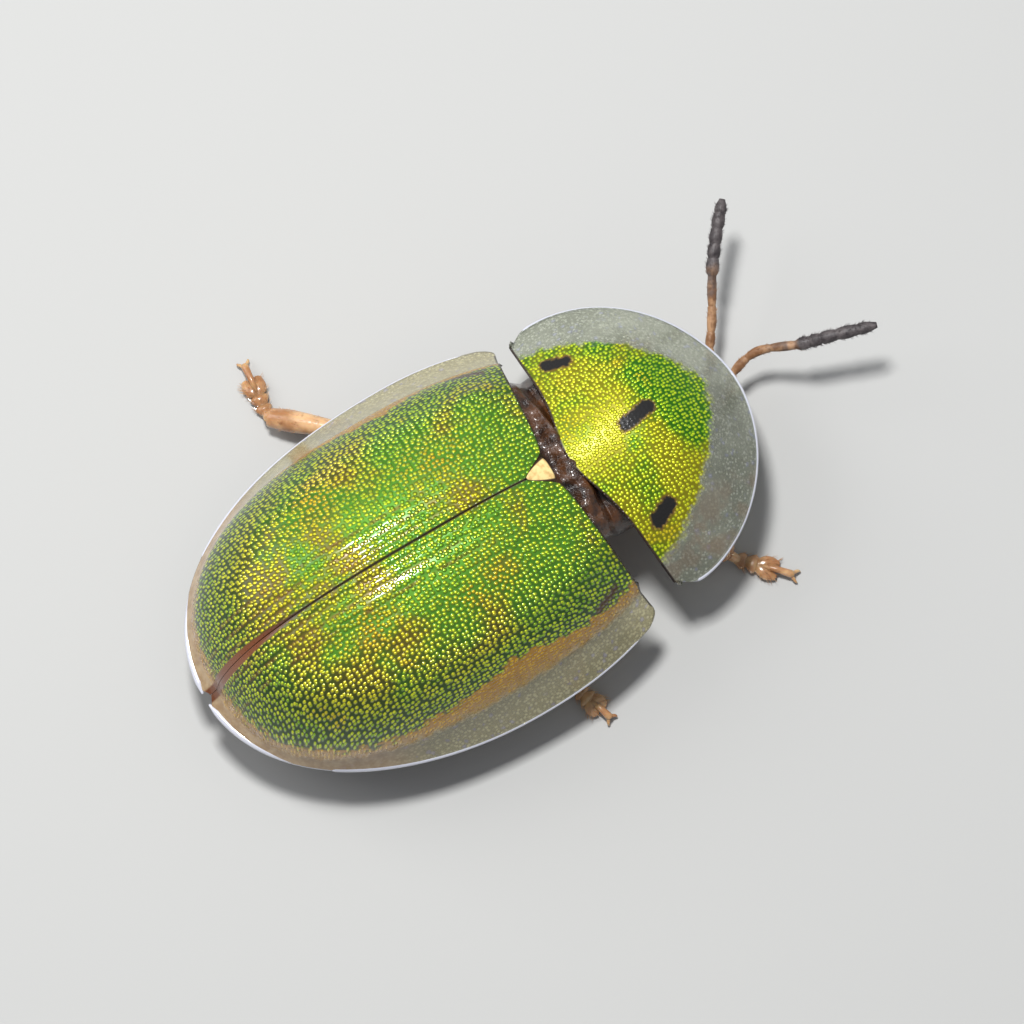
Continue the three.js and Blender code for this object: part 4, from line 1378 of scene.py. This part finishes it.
# %% Legs
# Hip, knee, ankle and tip of the toes, seen from above.
LEGS = {
    "front_left": [(0.5, -0.95), (1.35, -1.2), (1.75, -1.6), (1.6, -2.4)],
    "front_right": [(-0.45, -0.95), (-1.4, -1.2), (-2.2, -1.62), (-3.05, -2.42)],
    "middle_left": [(0.75, 0.75), (1.6, 0.65), (2.0, 1.15), (2.65, 0.95)],
    "middle_right": [(-0.75, 0.75), (-1.9, 1.25), (-2.75, 1.75), (-3.55, 1.5)],
    "hind_left": [(0.75, 2.25), (2.35, 2.25), (3.82, 3.75), (4.9, 3.62)],
    "hind_right": [(-0.75, 2.25), (-1.75, 2.7), (-1.95, 3.75), (-2.05, 4.65)],
}
# Height of each of those four above the floor.
HEIGHTS = (0.6, 0.7, 0.34, 0.13)
THIGH = (0.16, 0.22, 0.27, 0.24, 0.22, 0.2, 0.16)
SHIN = (0.12, 0.14, 0.13, 0.14, 0.16, 0.185, 0.2, 0.16)
HIP = (0.26, 0.3, 0.26, 0.17)
HIP_SOCKET = np.array([0, 0, 0.42])
SHIN_BOW = np.array([0, 0, 0.04])
LOBE_FLATNESS = 0.55


def limb(name, points, marks, flat=1.0, sides=16, count=50):
    path = smooth_path(points, count)
    wide = profile(marks, count)
    return tube(name, path, wide, wide * flat, sides=sides), path, wide


def foot(name, ankle, toe, seed):
    """Two single lobes, a split one, the claw joint, two claws and the hairs."""
    run = toe - ankle
    length = np.linalg.norm(run[:2])
    ahead = np.array([run[0], run[1], 0]) / length
    aside = np.array([-ahead[1], ahead[0], 0])

    def spot(share, off=0.0, z=0.12):
        return ankle * [1, 1, 0] + ahead * length * share + aside * off + np.array([0, 0, z])

    ankle_joint = limb(name, [ankle, spot(0.06, z=0.24), spot(0.14, z=0.15)], (0.1, 0.09, 0.08), count=16)
    parts = [ankle_joint[0]]
    fringe = []
    lobes = [
        ([spot(0.06, z=0.17), spot(0.2), spot(0.3, z=0.09)], (0.05, 0.1, 0.15, 0.14, 0.05)),
        ([spot(0.24, z=0.15), spot(0.36), spot(0.47, z=0.09)], (0.05, 0.11, 0.17, 0.16, 0.05)),
        ([spot(0.42, z=0.14), spot(0.55, 0.07), spot(0.74, 0.13, 0.08)], (0.05, 0.1, 0.13, 0.12, 0.04)),
        ([spot(0.42, z=0.14), spot(0.55, -0.07), spot(0.74, -0.13, 0.08)], (0.05, 0.1, 0.13, 0.12, 0.04)),
    ]
    for number, (points, marks) in enumerate(lobes):
        lobe, path, wide = limb(f"{name}_lobe_{number}", points, marks, LOBE_FLATNESS, 14, 24)
        parts.append(lobe)
        high = wide * LOBE_FLATNESS
        hair = limb_hairs(f"{name}_fringe_{number}", path, wide, high, 60, 0.1, seed + number, lean=1.2)
        fringe.append(hair)
    claw_joint = [spot(0.5, z=0.15), spot(0.7, z=0.19), spot(0.9, z=0.15), spot(0.97, z=0.12)]
    parts.append(limb(f"{name}_claw_joint", claw_joint, (0.04, 0.05, 0.06, 0.07, 0.06), count=24)[0])
    for side in (1, -1):
        claw = [spot(0.95, side * 0.02, 0.12), spot(1.02, side * 0.09, 0.1), spot(1.06, side * 0.1, 0.03)]
        parts.append(limb(f"{name}_claw_{side}", claw, (0.035, 0.03, 0.02, 0.006), sides=8, count=14)[0])
    return join(name, parts + fringe)


for number, (name, plan) in enumerate(LEGS.items()):
    hip, knee, ankle, toe = [np.array([*p, z]) for p, z in zip(plan, HEIGHTS)]
    thigh, _, _ = limb(f"thigh_{name}", [hip, (hip + knee) / 2, knee], THIGH)
    hip_ball, _, _ = limb(f"hip_{name}", [hip * [0.85, 1, 1] + HIP_SOCKET, hip], HIP, count=20)
    thigh = join(f"thigh_{name}", [thigh, hip_ball])
    shin, path, wide = limb(f"shin_{name}", [knee, (knee + ankle) / 2 + SHIN_BOW, ankle], SHIN)
    coat = limb_hairs(f"shin_hairs_{name}", path, wide, wide, 120, 0.08, 40 + number, (0.3, 1.0), 1.5)
    ride(thigh, "limb", amber.material, f"femur_{name}")
    ride(join(f"shin_{name}", [shin, coat]), "limb", amber.material, f"tibia_{name}")
    ride(foot(f"foot_{name}", ankle, toe, 100 + 10 * number), "limb", amber.material, f"tarsus_{name}")
print("legs done:", len(LEGS))

visual_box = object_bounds()
boxes = {"cad": cad_box, "visual": visual_box}
for word, box in boxes.items():
    print(word, "box, mm:", [[round(v / MM, 2) for v in corner] for corner in box])
